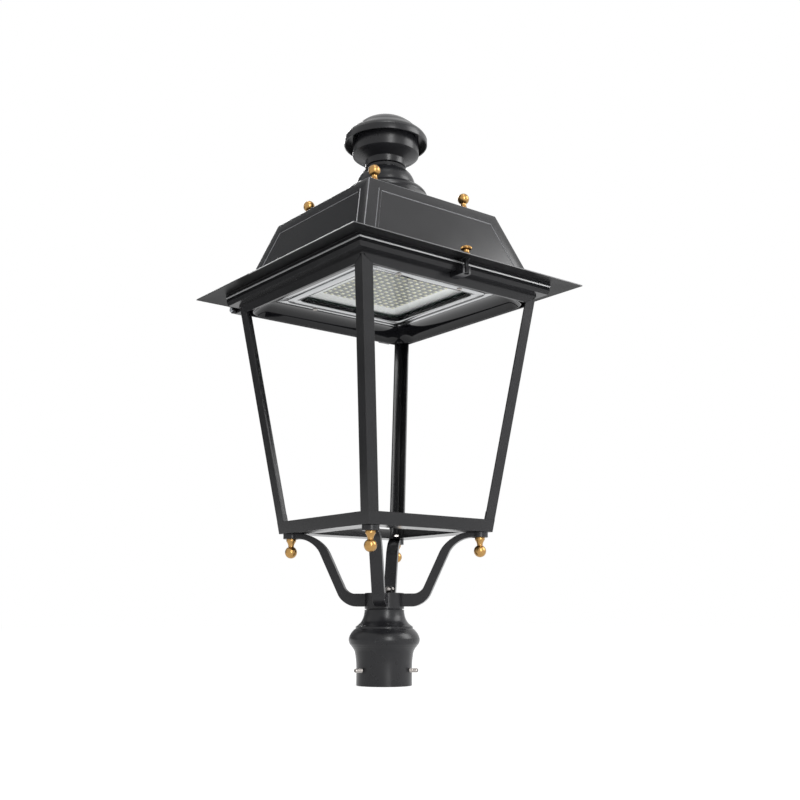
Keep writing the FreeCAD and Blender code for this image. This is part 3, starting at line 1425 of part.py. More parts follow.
save("heat_sink", make_heat_sink())
save("gear_standoffs", make_gear_standoffs())
save("gear_plate", make_gear_plate())
save("driver", make_driver())
save("gear_screws", make_gear_screws())
save("terminal_block", make_terminal_block())
save("surge_protector", make_surge_protector())
save("cable_gland", make_cable_gland())
save("gland_nut", make_gland_nut())
save("roof_skirt", make_roof_skirt())
save("roof_hood", make_roof_hood())
save("hinge_leaves", make_hinge_leaves())
save("chimney_base", make_chimney_base())
save("chimney_bowl", make_chimney_bowl())
save("chimney_cap", make_chimney_cap())
save("chimney_rod", make_chimney_rod())
save("chimney_nut", make_chimney_nut())
save("top_finial_bases", make_top_finial_bases())
save("top_finials", make_top_finials())
save("top_finial_nuts", make_top_finial_nuts())
save("closing_screw", make_closing_screw())
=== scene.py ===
import math

import bmesh
import bpy
from mathutils import Matrix, Vector
from mathutils.geometry import interpolate_bezier


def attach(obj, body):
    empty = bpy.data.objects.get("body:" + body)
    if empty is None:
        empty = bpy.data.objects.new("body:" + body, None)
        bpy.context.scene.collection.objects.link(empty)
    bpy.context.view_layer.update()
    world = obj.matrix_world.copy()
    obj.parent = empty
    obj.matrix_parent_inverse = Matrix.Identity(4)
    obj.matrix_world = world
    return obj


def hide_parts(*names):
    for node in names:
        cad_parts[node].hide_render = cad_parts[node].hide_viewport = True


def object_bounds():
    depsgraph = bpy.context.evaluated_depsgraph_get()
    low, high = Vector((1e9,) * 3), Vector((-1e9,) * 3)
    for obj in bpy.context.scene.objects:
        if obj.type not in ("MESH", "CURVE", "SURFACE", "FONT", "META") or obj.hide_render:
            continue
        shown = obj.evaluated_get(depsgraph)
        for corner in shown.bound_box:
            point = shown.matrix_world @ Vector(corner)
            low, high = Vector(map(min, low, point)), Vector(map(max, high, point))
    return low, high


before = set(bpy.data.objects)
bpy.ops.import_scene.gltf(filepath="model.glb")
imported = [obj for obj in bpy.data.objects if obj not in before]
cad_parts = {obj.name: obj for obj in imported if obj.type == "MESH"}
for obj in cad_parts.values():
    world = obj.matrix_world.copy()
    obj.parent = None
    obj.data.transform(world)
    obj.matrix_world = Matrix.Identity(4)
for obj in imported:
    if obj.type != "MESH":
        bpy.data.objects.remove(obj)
cad_low, cad_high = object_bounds()


# ---------------------------------------------------------------- the view
# The lantern is seen from its front left corner and from low down, so the eye looks up under the eaves.
# The lens is a moderate long one, about one and a half metres away, level with the neck of the post sleeve.

LOOK_UP = 11.745    # degrees above level
LOOK_ROUND = -38.12    # degrees round the post, from straight in front

scene = bpy.context.scene
scene.view_settings.view_transform = "Standard"
camera_data = bpy.data.cameras.new("camera")
camera_data.lens = 47.23
camera_data.sensor_width = 36.0
camera_data.clip_start = 0.01
camera = bpy.data.objects.new("camera", camera_data)
camera.location = (-0.95097, -1.24923, 0.0951)
camera.rotation_euler = (math.radians(90 + LOOK_UP), 0.0, math.radians(LOOK_ROUND))
scene.collection.objects.link(camera)
scene.camera = camera


# ------------------------------------------------- white floor and white room
# A matt white floor under the sleeve and a white room round it, as in a product picture.
# The floor keeps the soft shadow of the object; a little glow lifts the rest of it to the white of the room.

MM = 0.001
FLOOR_HALF = 9.0
FLOOR_GAP = 0.5 * MM    # keeps the floor's face clear of the sleeve's
PURE_WHITE = (1, 1, 1, 1)


def add(tree, kind, links=None, **settings):
    """Adds one shader node with its settings, then its values and links by socket name."""
    node = tree.nodes.new(kind)
    for name, value in settings.items():
        setattr(node, name, value)
    for name, source in (links or {}).items():
        socket = node.inputs[name]
        if isinstance(source, bpy.types.NodeSocket):
            tree.links.new(source, socket)
        else:
            socket.default_value = source
    return node


def colour(code):
    """Linear colour from an sRGB hex value."""
    parts = [int(code[i:i + 2], 16) / 255 for i in (1, 3, 5)]
    return tuple([c / 12.92 if c <= 0.04045 else ((c + 0.055) / 1.055) ** 2.4 for c in parts] + [1.0])


def shown_white(tree):
    """1 where the eye, a mirror or a pane looks straight at the background, else 0."""
    path = add(tree, "ShaderNodeLightPath")
    direct = {0: path.outputs["Is Camera Ray"], 1: path.outputs["Is Glossy Ray"]}
    mirrored = add(tree, "ShaderNodeMath", direct, operation="MAXIMUM")
    through = {0: mirrored.outputs[0], 1: path.outputs["Is Transmission Ray"]}
    return add(tree, "ShaderNodeMath", through, operation="MAXIMUM").outputs[0]


def object_of(name, shape, *materials):
    """Makes an object of a finished mesh and its materials, and frees the mesh's editing copy."""
    data = bpy.data.meshes.new(name)
    shape.to_mesh(data)
    shape.free()
    for material in materials:
        data.materials.append(material)
    made = bpy.data.objects.new(name, data)
    scene.collection.objects.link(made)
    return made


# The room lights the lantern softly and a little coolly, and stands white behind it.
world = bpy.data.worlds.new("white_room")
world.use_nodes = True
scene.world = world
tree = world.node_tree
tree.nodes.clear()
lit = add(tree, "ShaderNodeBackground", {"Color": colour("#f4f6fa"), "Strength": 0.55})
seen = add(tree, "ShaderNodeBackground", {"Color": PURE_WHITE, "Strength": 1.0})
room = add(tree, "ShaderNodeMixShader", {0: shown_white(tree), 1: lit.outputs[0], 2: seen.outputs[0]})
add(tree, "ShaderNodeOutputWorld", {"Surface": room.outputs[0]})

# Matt white paper: it has no gloss at all, and shows only the shadow.
paper = bpy.data.materials.new("matt_white_floor")
paper.use_nodes = True
tree = paper.node_tree
tree.nodes.clear()
matt = add(tree, "ShaderNodeBsdfDiffuse", {"Color": colour("#ececec")})
shade = add(tree, "ShaderNodeBsdfDiffuse", {"Color": colour("#909090")})
glow = add(tree, "ShaderNodeEmission", {"Color": PURE_WHITE, "Strength": 0.86})
both = add(tree, "ShaderNodeAddShader", {0: shade.outputs[0], 1: glow.outputs[0]})
floor_mix = add(tree, "ShaderNodeMixShader", {0: shown_white(tree), 1: matt.outputs[0], 2: both.outputs[0]})
add(tree, "ShaderNodeOutputMaterial", {"Surface": floor_mix.outputs[0]})

ground = bmesh.new()
bmesh.ops.create_grid(ground, x_segments=1, y_segments=1, size=FLOOR_HALF)
bmesh.ops.translate(ground, verts=ground.verts, vec=(0, 0, cad_low.z - FLOOR_GAP))
floor = object_of("floor", ground, paper)


# ------------------------------------------------------------ studio lights
# A broad soft light at the right, a narrow upright one in front, a small one overhead, a rim light high behind
# that draws a line on the left eave, and a weak one on the floor that lifts the white round the lamp.

def lamp(name, place, aim, wide, high, watts):
    """A soft rectangular light at a place, aimed at a point of the lantern; all in metres."""
    data = bpy.data.lights.new(name, "AREA")
    data.shape = "RECTANGLE"
    data.size = wide
    data.size_y = high
    data.energy = watts
    holder = bpy.data.objects.new(name, data)
    holder.location = place
    holder.rotation_euler = (Vector(aim) - Vector(place)).to_track_quat("-Z", "Y").to_euler()
    scene.collection.objects.link(holder)
    return holder


lamp("right_soft_light", (2.5, -2.2, 2.2), aim=(0, 0, 0.5), wide=1.9, high=2.2, watts=78)
lamp("front_strip_light", (-1.1, -3.0, 1.3), aim=(0, 0, 0.45), wide=0.7, high=2.5, watts=62)
lamp("overhead_light", (-0.35, -0.75, 3.3), aim=(0, 0, 0.6), wide=0.7, high=0.7, watts=12)
lamp("rear_rim_light", (1.05, 2.6, 2.3), aim=(0, 0, 0.6), wide=0.8, high=0.9, watts=22)
uplight = lamp("floor_light", (0.4, -0.35, 0.03), aim=(0.1, -0.1, 1.0), wide=1.1, high=1.1, watts=23)
uplight.visible_camera = False
uplight.visible_glossy = False


# --------------------------------------------------------------- grey cloth
# A grey cotton cloth in two widths hangs behind the set, a high broad one and a low one at the left.
# The camera doesn't see it, but the left faces and the coves mirror it, and that keeps them dark.

CLOTH_BACK = 3.2
CLOTH_WIDTHS = ((0.9, 2.25, 2.6, 1.9), (-2.45, 0.75, 0.74, 0.7))    # across, up, half-width, half-height
FACTOR, TONE_A, TONE_B, MIXED = 0, 6, 7, 2    # sockets of a Mix node that mixes colours


def finish(name, dark, light, rough, blotch_mm, bump_mm=None, depth_mm=0.0, stretch=(1, 1, 1), **plain):
    """One surface: two close tones, roughness that wanders between two values, and a fine bump."""
    made = bpy.data.materials.new(name)
    made.use_nodes = True
    tree = made.node_tree
    shader = tree.nodes["Principled BSDF"]
    place = add(tree, "ShaderNodeTexCoord")
    mapping = add(tree, "ShaderNodeMapping", {"Vector": place.outputs["Object"], "Scale": stretch})
    spread = {"Vector": mapping.outputs[0], "Scale": 1000 / blotch_mm, "Detail": 4.0}
    patches = add(tree, "ShaderNodeTexNoise", spread)
    pair = {FACTOR: patches.outputs[0], TONE_A: colour(dark), TONE_B: colour(light)}
    tones = add(tree, "ShaderNodeMix", pair, data_type="RGBA")
    tree.links.new(tones.outputs[MIXED], shader.inputs["Base Color"])
    span = {"Value": patches.outputs[0], "From Min": 0.3, "From Max": 0.7, "To Min": rough[0], "To Max": rough[1]}
    tree.links.new(add(tree, "ShaderNodeMapRange", span).outputs[0], shader.inputs["Roughness"])
    for socket, value in plain.items():
        shader.inputs[socket.replace("_", " ")].default_value = value
    if bump_mm:
        fine = {"Vector": mapping.outputs[0], "Scale": 1000 / bump_mm, "Detail": 2.0}
        grain = add(tree, "ShaderNodeTexNoise", fine)
        height = {"Height": grain.outputs[0], "Strength": 0.6, "Distance": depth_mm * MM}
        tree.links.new(add(tree, "ShaderNodeBump", height).outputs[0], shader.inputs["Normal"])
    return made


# Dyed cotton: an even mid grey without a sheen.
grey_cotton = finish("grey_studio_cloth", "#858585", "#8f8f8f", rough=(0.9, 1.0), blotch_mm=300)

hanging = bmesh.new()
for across, up, half_width, half_height in CLOTH_WIDTHS:
    upright = Matrix.Translation((across, CLOTH_BACK, up)) @ Matrix.Rotation(math.radians(90), 4, "X")
    sized = upright @ Matrix.Diagonal((half_width, half_height, 1, 1))
    bmesh.ops.create_grid(hanging, x_segments=1, y_segments=1, size=1.0, matrix=sized)
cloth = object_of("grey_cloth", hanging, grey_cotton)
cloth.visible_camera = False
cloth.visible_diffuse = False
cloth.visible_transmission = False
cloth.visible_shadow = False


# ------------------------------------------------------------- post sleeve
# A turned casting that goes over the top of the post: plain skirt, bulge, ring and neck.
# Cast aluminium, powder coated black; one hollow body with a shoulder that stops on the post.

# Powder-coated cast aluminium: satin black, with a soft orange peel about 3 mm wide, drawn wide enough to show.
cast_black = finish("powder_coated_casting", "#18181a", "#1d1d1f", rough=(0.25, 0.33), blotch_mm=30,
                    bump_mm=3.0, depth_mm=0.004, Specular_IOR_Level=0.32)

MERGE = 0.002 * MM    # corners nearer than this are one corner


def smooth_run(points, per=7):
    """Points of a smooth curve that passes through the measured ones."""
    line = [Vector((r, z, 0)) for r, z in points]
    ends = [line[0] * 2 - line[1]] + line + [line[-1] * 2 - line[-2]]
    curve = []
    for i in range(1, len(ends) - 2):
        before = ends[i] + (ends[i + 1] - ends[i - 1]) / 6
        after = ends[i + 1] - (ends[i + 2] - ends[i]) / 6
        curve += interpolate_bezier(ends[i], before, after, ends[i + 1], per)[:-1]
    return [(p.x, p.y) for p in curve] + [points[-1]]


def lathe(outline, closed=False, steps=96):
    """Spins an outline of (radius, height) in millimetres about the upright axis."""
    shape = bmesh.new()
    verts = [shape.verts.new((max(r, 0.0) * MM, 0, z * MM)) for r, z in outline]
    edges = [shape.edges.new(pair) for pair in zip(verts, verts[1:])]
    if closed:
        edges.append(shape.edges.new((verts[-1], verts[0])))
    bmesh.ops.spin(shape, geom=verts + edges, cent=(0, 0, 0), axis=(0, 0, 1),
                   angle=2 * math.pi, steps=steps, use_merge=True)
    bmesh.ops.remove_doubles(shape, verts=shape.verts, dist=MERGE)
    bmesh.ops.recalc_face_normals(shape, faces=shape.faces)
    return shape


def piece(name, shape, material, body, slot, *nodes, sharp=32.0, ease=0.0, wall=0.0):
    """Makes an object of a finished mesh, and says what it rides on and which nodes it stands for."""
    made = object_of(name, shape, *(material if isinstance(material, tuple) else (material,)))
    made.data.shade_smooth()
    made.data.set_sharp_from_angle(angle=math.radians(sharp))
    if wall:
        shell = made.modifiers.new("sheet_thickness", "SOLIDIFY")
        shell.thickness = wall * MM
        shell.offset = -1.0
        shell.use_even_offset = True
    if ease:
        rounding = made.modifiers.new("eased_edges", "BEVEL")
        rounding.width = ease * MM
        rounding.segments = 2
        rounding.limit_method = "ANGLE"
        rounding.angle_limit = math.radians(28)
        rounding.harden_normals = True
        rounding.use_clamp_overlap = True
    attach(made, body)
    if nodes:
        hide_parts(*nodes)


# From the rim up the outside, over the neck, and back down the wire way, nut well and bore.
sleeve_outline = [(40.0, 0), (40.4, 0.4), (40.4, 12), (40.4, 24)]
sleeve_outline += smooth_run([(40.4, 24), (40.8, 33), (41.7, 41), (43.2, 48.5), (46.3, 53.8)])
sleeve_outline += [(46.9, 54.4), (47.6, 55.2)]
sleeve_outline += smooth_run([(48.0, 55.9), (50.8, 59.7), (51.8, 65.7), (49.1, 72.8), (44.3, 78.8)])
sleeve_outline += [(42.2, 80.0), (41.8, 80.5), (41.8, 82.9), (41.5, 83.3), (39.9, 84.3)]
sleeve_outline += smooth_run([(39.6, 84.4), (37.0, 86.6), (33.3, 90.8), (30.4, 97.2), (29.1, 104.0)])
sleeve_outline += [(29.1, 106.8), (28.7, 107.2), (22, 107.2), (22, 84), (8.2, 84), (8.2, 76)]
sleeve_outline += [(26.5, 76), (26.5, 64), (31, 64), (31, 0.5), (31.5, 0)]
piece("turned_sleeve", lathe(sleeve_outline, closed=True), cast_black, "frame", "black_paint", "post_sleeve")


# --------------------------------------------- set screws, nuts and small screws
# Headless stainless screws through the sleeve, and the nuts and screws of the lamp stack and hinges.
# Turned from steel bar or formed cold; the plain ones are stainless, the tubes and plates zinc plated.

# Turned stainless steel: bright, with very fine rings left by the tool, drawn coarser than real so that they show.
turned_steel = finish("turned_stainless_steel", "#a09c99", "#bdb8b4", rough=(0.20, 0.34), blotch_mm=6,
                      bump_mm=0.7, depth_mm=0.004, Metallic=1.0)

# Zinc plated steel: paler and duller, with a cloudy mottle of about a centimetre.
zinc_steel = finish("zinc_plated_steel", "#9ea3a9", "#c3c6c8", rough=(0.32, 0.5), blotch_mm=9,
                    bump_mm=1.2, depth_mm=0.004, Metallic=1.0)

THREAD_STEP = 0.75    # from crest to crest
SCREW_START = 32    # from the axis to the screw's inner end
SCREW_UP = 22


def dress(material, *names):
    """Gives CAD nodes that keep their shape a finish."""
    for name in names:
        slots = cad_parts[name].data.materials
        slots.clear()
        slots.append(material)


def join(shape, extra, *moves):
    """Adds a turned and moved copy of one mesh to another for each transform."""
    for move in moves:
        copy = bpy.data.meshes.new("copy")
        extra.to_mesh(copy)
        copy.transform(move)
        shape.from_mesh(copy)
        bpy.data.meshes.remove(copy)
    extra.free()
    return shape


def shift(x, y, z):
    """A move by millimetres."""
    return Matrix.Translation(Vector((x, y, z)) * MM)


def along_x(move, angle=0.0):
    """Lays an upright turned shape along X, moves it, then turns it about the post's axis."""
    return Matrix.Rotation(math.radians(angle), 4, "Z") @ move @ Matrix.Rotation(math.radians(90), 4, "Y")


dress(turned_steel, "lower_finial_nuts", "top_finial_nuts", "earth_nut", "hinge_bracket_screws", "rim_screws",
      "gear_screws")
dress(zinc_steel, "hub_tube", "hub_nut", "chimney_rod", "chimney_nut", "gear_plate", "hinge_pins")

rod_outline = [(0, 0), (2.6, 0), (3.0, 0.5)]
for k in range(24):
    rod_outline += [(3.0, 1.0 + THREAD_STEP * k), (2.72, 1.37 + THREAD_STEP * k)]
rod_outline += [(3.0, 19.2), (2.5, 20), (1.75, 20), (1.7, 16.8), (0, 16.6)]
rod_places = [along_x(shift(SCREW_START, 0, SCREW_UP), angle) for angle in (180, -60, 60)]
rods = join(bmesh.new(), lathe(rod_outline, steps=24), *rod_places)
piece("threaded_set_screws", rods, turned_steel, "frame", "stainless", "set_screws", sharp=25)


# --------------------------------------------------------------------- hub
# A thick disc on the neck of the sleeve, on a steel washer, clamped from below by a hollow threaded tube.
# Cast aluminium with the same black coat; an earth screw stands in a small tab on top of the disc.

# Blackened steel: the oxide skin is a dull near black, with some of the metal's gleam. The washer under the hub
# takes it too, as painted shade.
oxide_black_and_washer_shade = finish("steel_oxide_black_and_painted_shade", "#1b1b1d", "#262628", rough=(0.3, 0.42), blotch_mm=5,
                     bump_mm=0.8, depth_mm=0.003, Metallic=0.6)
# Painted shade: the washer is given the near black in place of the dark line of shade between hub and sleeve.
dress(oxide_black_and_washer_shade, "hub_washer")

TAB_SIZE = (3 * MM, 8.8 * MM, 10.5 * MM)

hub = lathe([(8.2, 108.3), (28.3, 108.3), (29, 109.0), (29, 130.7), (28.3, 131.4), (8.2, 131.4)], closed=True)
tab = bmesh.new()
bmesh.ops.create_cube(tab, size=1.0)
bmesh.ops.scale(tab, verts=tab.verts, vec=TAB_SIZE)
join(hub, tab, shift(0, -13.1, 136.0))
piece("slotted_hub", hub, cast_black, "frame", "black_paint", "arm_hub", ease=0.3)

# A cheese head with a rounded rim, then the plain shank.
earth_outline = [(0, 0), (2.9, 0), (3.7, 0.5), (4.0, 1.4), (4.0, 4.5), (2.4, 4.5)]
earth_outline += [(2.4, 11.8), (1.9, 12.5), (0, 12.5)]
earth = join(bmesh.new(), lathe(earth_outline, steps=32), along_x(shift(-6, -12.8, 136.2)))
piece("earth_screw_turned", earth, turned_steel, "frame", "stainless", "earth_screw", sharp=30)


# -------------------------------------------------------------------- arms
# Four flat bars that curve from slots in the hub out to the cage corners, each with a round boss at its end.
# Forged aluminium with the black coat of the castings; a brass ball's stud holds each one to its corner.

ARM_WIDE = 18
CORNER_OUT = 141.42    # from the axis to a lower corner of the cage
BOSS_R = 12
BOSS_TALL = 7.7
ARM_OUTLINE = [    # out from the axis, height, radius of the corner
    (16, 130.5, 0), (54.5, 130.5, 16), (95.8, 219, 50), (CORNER_OUT, 219, 0),
    (CORNER_OUT, 211.3, 0), (106.1, 211.3, 37), (60, 111.8, 30), (16, 111.8, 0),
]


def round_off(shape, parts, width, segments, affect):
    """Bevels corners or edges round, to a width in millimetres, and returns the new faces."""
    return bmesh.ops.bevel(shape, geom=parts, offset=width * MM, offset_type="OFFSET", segments=segments,
                           profile=0.5, affect=affect, material=-1)["faces"]


def only(kind, parts):
    """The parts of one kind, such as the corners, of what an operator returns."""
    return [part for part in parts if isinstance(part, kind)]


def rounded_outline(corners):
    """A flat outline of (across, height, radius) corners; each radius is rounded off by a bevel of its corner."""
    shape = bmesh.new()
    verts = [shape.verts.new((s * MM, 0, z * MM)) for s, z, radius in corners]
    shape.faces.new(verts)
    for i, (s, z, radius) in enumerate(corners):
        if radius:
            here = Vector((s, z))
            before = (Vector(corners[i - 1][:2]) - here).normalized()
            after = (Vector(corners[(i + 1) % len(corners)][:2]) - here).normalized()
            reach = radius / math.tan(before.angle(after) / 2)
            round_off(shape, [verts[i]], reach, 14, "VERTICES")
    return shape


bar = rounded_outline(ARM_OUTLINE)
grown = bmesh.ops.extrude_face_region(bar, geom=bar.faces[:])["geom"]
bmesh.ops.translate(bar, verts=only(bmesh.types.BMVert, grown), vec=(0, ARM_WIDE * MM, 0))
bmesh.ops.translate(bar, verts=bar.verts, vec=(0, -ARM_WIDE / 2 * MM, 0))
bmesh.ops.recalc_face_normals(bar, faces=bar.faces)
boss = bmesh.new()
bmesh.ops.create_cone(boss, cap_ends=True, segments=64, radius1=BOSS_R * MM, radius2=BOSS_R * MM,
                      depth=BOSS_TALL * MM)
join(bar, boss, shift(CORNER_OUT, 0, 211.3 + BOSS_TALL / 2))
for side, angle in (("front_left", 225), ("front_right", 315), ("back_right", 45), ("back_left", 135)):
    turned_bar = bar.copy()
    turn = Matrix.Rotation(math.radians(angle), 3, "Z")
    bmesh.ops.rotate(turned_bar, verts=turned_bar.verts, cent=(0, 0, 0), matrix=turn)
    piece("curved_arm_" + side, turned_bar, cast_black, "frame", "black_paint", "arm_" + side, ease=0.6)
bar.free()


# -------------------------------------------------------------- brass balls
# Each is turned from brass bar: a ball on a drawn-in neck and a flange, with a stud into the corner.
# Four hang under the cage and four stand on the roof plate, on short black spacers.

# Turned brass with a satin polish: warm yellow-brown, its fine tool lines drawn coarser so that they show.
brass = finish("satin_brass", "#a67f4c", "#b8935c", rough=(0.27, 0.36), blotch_mm=5,
               bump_mm=0.9, depth_mm=0.003, Metallic=1.0)

BALL_R = 9
BALL_UP = 19.8    # from the flange to the ball's centre
LOW_OUT = 100    # across and along to the balls under the cage
TOP_OUT = 87.5    # the same on the roof plate
PLATE_TOP = 710.5
SPACER_TALL = 11.1

finial_outline = [(0, -14), (3, -14), (3, 0), (6.9, 0), (7.3, 0.4), (7.3, 3.0)]
finial_outline += smooth_run([(7.3, 3.4), (6.2, 5.0), (4.9, 7.4), (4.3, 9.8), (4.2, 11.6)])
for angle in range(28, 181, 6):
    finial_outline.append((BALL_R * math.sin(math.radians(angle)), BALL_UP - BALL_R * math.cos(math.radians(angle))))
finial_outline.append((0, BALL_UP + BALL_R))
spacer_outline = [(3.2, 0), (6.8, 0), (7.3, 0.5), (7.3, 10.6), (6.8, SPACER_TALL), (3.2, SPACER_TALL)]
corners = [(-1, -1), (1, -1), (1, 1), (-1, 1)]
head_down = Matrix.Rotation(math.pi, 4, "X")
low_places = [shift(x * LOW_OUT, y * LOW_OUT, 211.3) @ head_down for x, y in corners]
top_places = [shift(x * TOP_OUT, y * TOP_OUT, PLATE_TOP + SPACER_TALL) for x, y in corners]
spacer_places = [shift(x * TOP_OUT, y * TOP_OUT, PLATE_TOP) for x, y in corners]
low_balls = join(bmesh.new(), lathe(finial_outline, steps=48), *low_places)
piece("brass_balls_low", low_balls, brass, "frame", "brass", "lower_finials", sharp=38)
top_balls = join(bmesh.new(), lathe(finial_outline, steps=48), *top_places)
piece("brass_balls_top", top_balls, brass, "roof", "brass", "top_finials", sharp=38)
spacers = join(bmesh.new(), lathe(spacer_outline, closed=True, steps=48), *spacer_places)
piece("ball_spacers", spacers, cast_black, "roof", "black_paint", "top_finial_bases")


# ------------------------------------------------ cage: rails, legs and hinges
# Four leaning angle-section legs between a lower and an upper square rail, all mitred and welded.
# Extruded aluminium; the forked lug for the closing screw and the hinge parts are small castings.

# Powder-coated extrusion: smoother and a little glossier than the castings, with an orange peel of 2.4 mm.
coat_black = finish("powder_coated_extrusion", "#121213", "#161618", rough=(0.20, 0.26), blotch_mm=50,
                    bump_mm=2.4, depth_mm=0.003, Specular_IOR_Level=0.34)


def eased_copy(node, name, material, body, slot, ease):
    """The node's own shape with flat faces made whole again and its edges broken."""
    shape = bmesh.new()
    shape.from_mesh(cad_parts[node].data)
    bmesh.ops.remove_doubles(shape, verts=shape.verts, dist=0.005 * MM)
    bmesh.ops.dissolve_limit(shape, angle_limit=math.radians(0.6), verts=shape.verts, edges=shape.edges)
    piece(name, shape, material, body, slot, node, ease=ease)


eased_copy("lower_frame", "lower_rail", coat_black, "frame", "black_paint", 0.5)
eased_copy("upper_frame", "upper_rail", coat_black, "frame", "black_paint", 0.5)
for side in ("front_left", "front_right", "back_right", "back_left"):
    eased_copy("leg_" + side, "angle_leg_" + side, coat_black, "frame", "black_paint", 0.5)
eased_copy("corner_cleats", "welded_corner_angles", coat_black, "frame", "black_paint", 0.3)
eased_copy("closing_lug", "forked_lug", cast_black, "frame", "black_paint", 0.5)
eased_copy("hinge_brackets", "hinge_knuckles_fixed", cast_black, "frame", "black_paint", 0.3)
eased_copy("hinge_leaves", "hinge_knuckles_roof", cast_black, "roof", "black_paint", 0.3)


# ------------------------------------------------------ seal under the roof
# A square seal that stands on the upper rail inside the roof's band and is glued down.
# Foamed rubber, cut from strip, with its corners butted.

# Sponge rubber: dull and dry, with open pores about a millimetre wide.
sponge = finish("sponge_rubber_seal", "#101010", "#1c1c1c", rough=(0.75, 0.95), blotch_mm=4,
                bump_mm=1.0, depth_mm=0.12)
eased_copy("roof_gasket", "sponge_seal", sponge, "frame", "rubber", 1.0)


# --------------------------------------------------------------- lamp tray
# A dished sheet round the lamp: flat in the middle, then a cove that sweeps down to a lip inside the rail.
# Pressed aluminium: the cove is stove enamelled, and the flat that the lamp is screwed against is anodised.

# Gloss black enamel: it mirrors the cage and the white room, softly waved.
gloss_black = finish("gloss_black_enamel", "#08080a", "#0b0b0d", rough=(0.06, 0.10), blotch_mm=60,
                     bump_mm=9.0, depth_mm=0.004, Specular_IOR_Level=0.15,
                     Coat_Weight=0.7, Coat_IOR=1.25, Coat_Roughness=0.04)

# Anodised aluminium: a grey satin metal that shows the floor, softened.
grey_anodised = finish("grey_anodised_flat", "#b0b1b2", "#bcbdbe", rough=(0.16, 0.24), blotch_mm=40,
                       bump_mm=0.9, depth_mm=0.0005, Metallic=1.0)
dress(gloss_black, "led_tray")

SKIN_DROP = 0.12    # the enamel's face lies this far under the CAD tray's
FLAT_UP = 584.5 - SKIN_DROP
FLAT_HALF = 122.0    # half-width of the flat, where the cove begins
COVE_R = 44.28
COVE_CENTRE_UP = 540.22 - SKIN_DROP


def rounded_course(shape, rows):
    """A square course with rounded corners through (half-width, corner radius, height) rows, one loop for each."""
    loops = []
    for half, radius, height in rows:
        before = set(shape.edges)
        square = Matrix.Translation((0, 0, height * MM)) @ Matrix.Rotation(math.radians(45), 4, "Z")
        made = bmesh.ops.create_circle(shape, cap_ends=True, segments=4, radius=half * math.sqrt(2) * MM,
                                       matrix=square)
        cap = made["verts"][0].link_faces[:]
        if radius:
            round_off(shape, made["verts"], radius, 10, "VERTICES")
            level = [f for f in shape.faces if all(abs(v.co.z - height * MM) < MERGE / 2 for v in f.verts)]
            cap = [f for f in level if len(f.verts) > 20]
        bmesh.ops.delete(shape, geom=cap, context="FACES_ONLY")
        loops.append([e for e in shape.edges if e not in before])
    for first, second in zip(loops, loops[1:]):
        bmesh.ops.bridge_loops(shape, edges=first + second)
    return loops


# The cove's section is drawn out along each side and spun round each corner in turn.
cove = []
for angle in range(0, 55, 3):
    out, up = COVE_R * math.sin(math.radians(angle)), COVE_R * math.cos(math.radians(angle))
    cove.append((FLAT_HALF + out, COVE_CENTRE_UP + up))
cove += [(158.0, 566.0 - SKIN_DROP), (158.3, 565.8), (159.9, 565.85)]
skin = bmesh.new()
verts = [skin.verts.new((w * MM, -FLAT_HALF * MM, z * MM)) for w, z in cove]
strip = [skin.edges.new(pair) for pair in zip(verts, verts[1:])]
for k in range(4):
    quarter = Matrix.Rotation(math.radians(90 * k), 3, "Z")
    grown = bmesh.ops.extrude_edge_only(skin, edges=strip)["geom"]
    moved = only(bmesh.types.BMVert, grown)
    bmesh.ops.translate(skin, verts=moved, vec=quarter @ Vector((0, 2 * FLAT_HALF * MM, 0)))
    ends = [e for e in only(bmesh.types.BMEdge, grown) if all(v in moved for v in e.verts)]
    corner = quarter @ Vector((FLAT_HALF * MM, FLAT_HALF * MM, 0))
    spun = bmesh.ops.spin(skin, geom=moved + ends, cent=corner, axis=(0, 0, 1), angle=math.radians(90), steps=16)
    strip = only(bmesh.types.BMEdge, spun["geom_last"])
bmesh.ops.remove_doubles(skin, verts=skin.verts, dist=10 * MERGE)
rounded_course(skin, [(98, 12, FLAT_UP), (FLAT_HALF, 0, FLAT_UP)])
for face in skin.faces:
    face.material_index = int(all(v.co.z > (FLAT_UP - 0.01) * MM for v in face.verts))
bmesh.ops.remove_doubles(skin, verts=skin.verts, dist=10 * MERGE)
bmesh.ops.recalc_face_normals(skin, faces=skin.faces)
if any(face.normal.z > 0 for face in skin.faces):
    bmesh.ops.reverse_faces(skin, faces=skin.faces[:])
piece("enamel_dish", skin, (gloss_black, grey_anodised), "frame", "gloss_black", sharp=35, wall=0.1)


# ------------------------------------------------------------- pane's frame
# The glass is held by a pressed frame with rounded corners, screwed up against the flat of the tray.
# It is aluminium, anodised grey like that flat.

bezel_rows = [(113.6, 14.6, 584.3), (113.6, 14.6, 583.9), (112.9, 13.9, 583.2)]
bezel_rows += [(99.0, 13.0, 583.2), (98.1, 12.1, 583.9), (98.1, 12.1, 584.3)]
bezel = bmesh.new()
loops = rounded_course(bezel, bezel_rows)
bmesh.ops.bridge_loops(bezel, edges=loops[0] + loops[-1])
bmesh.ops.recalc_face_normals(bezel, faces=bezel.faces)
piece("glass_bezel", bezel, grey_anodised, "frame", "gloss_black", sharp=50)


# ------------------------------------------------------- lamp stack and glass
# A square lamp board sits behind a toughened glass pane, with a white sheet round it and a heat sink on top.
# The pane lies on a rubber seal, and the whole stack is clamped to the tray.

# Toughened glass: clear, with a faint green edge.
glass = finish("clear_toughened_glass", "#4d5854", "#56625d", rough=(0.02, 0.06), blotch_mm=24,
               Alpha=0.15, IOR=1.5)

# White painted sheet: an even warm white, a little uneven in its gloss.
white_paint = finish("white_painted_sheet", "#f0f0ee", "#f6f6f4", rough=(0.42, 0.55), blotch_mm=30,
                     bump_mm=1.5, depth_mm=0.004)

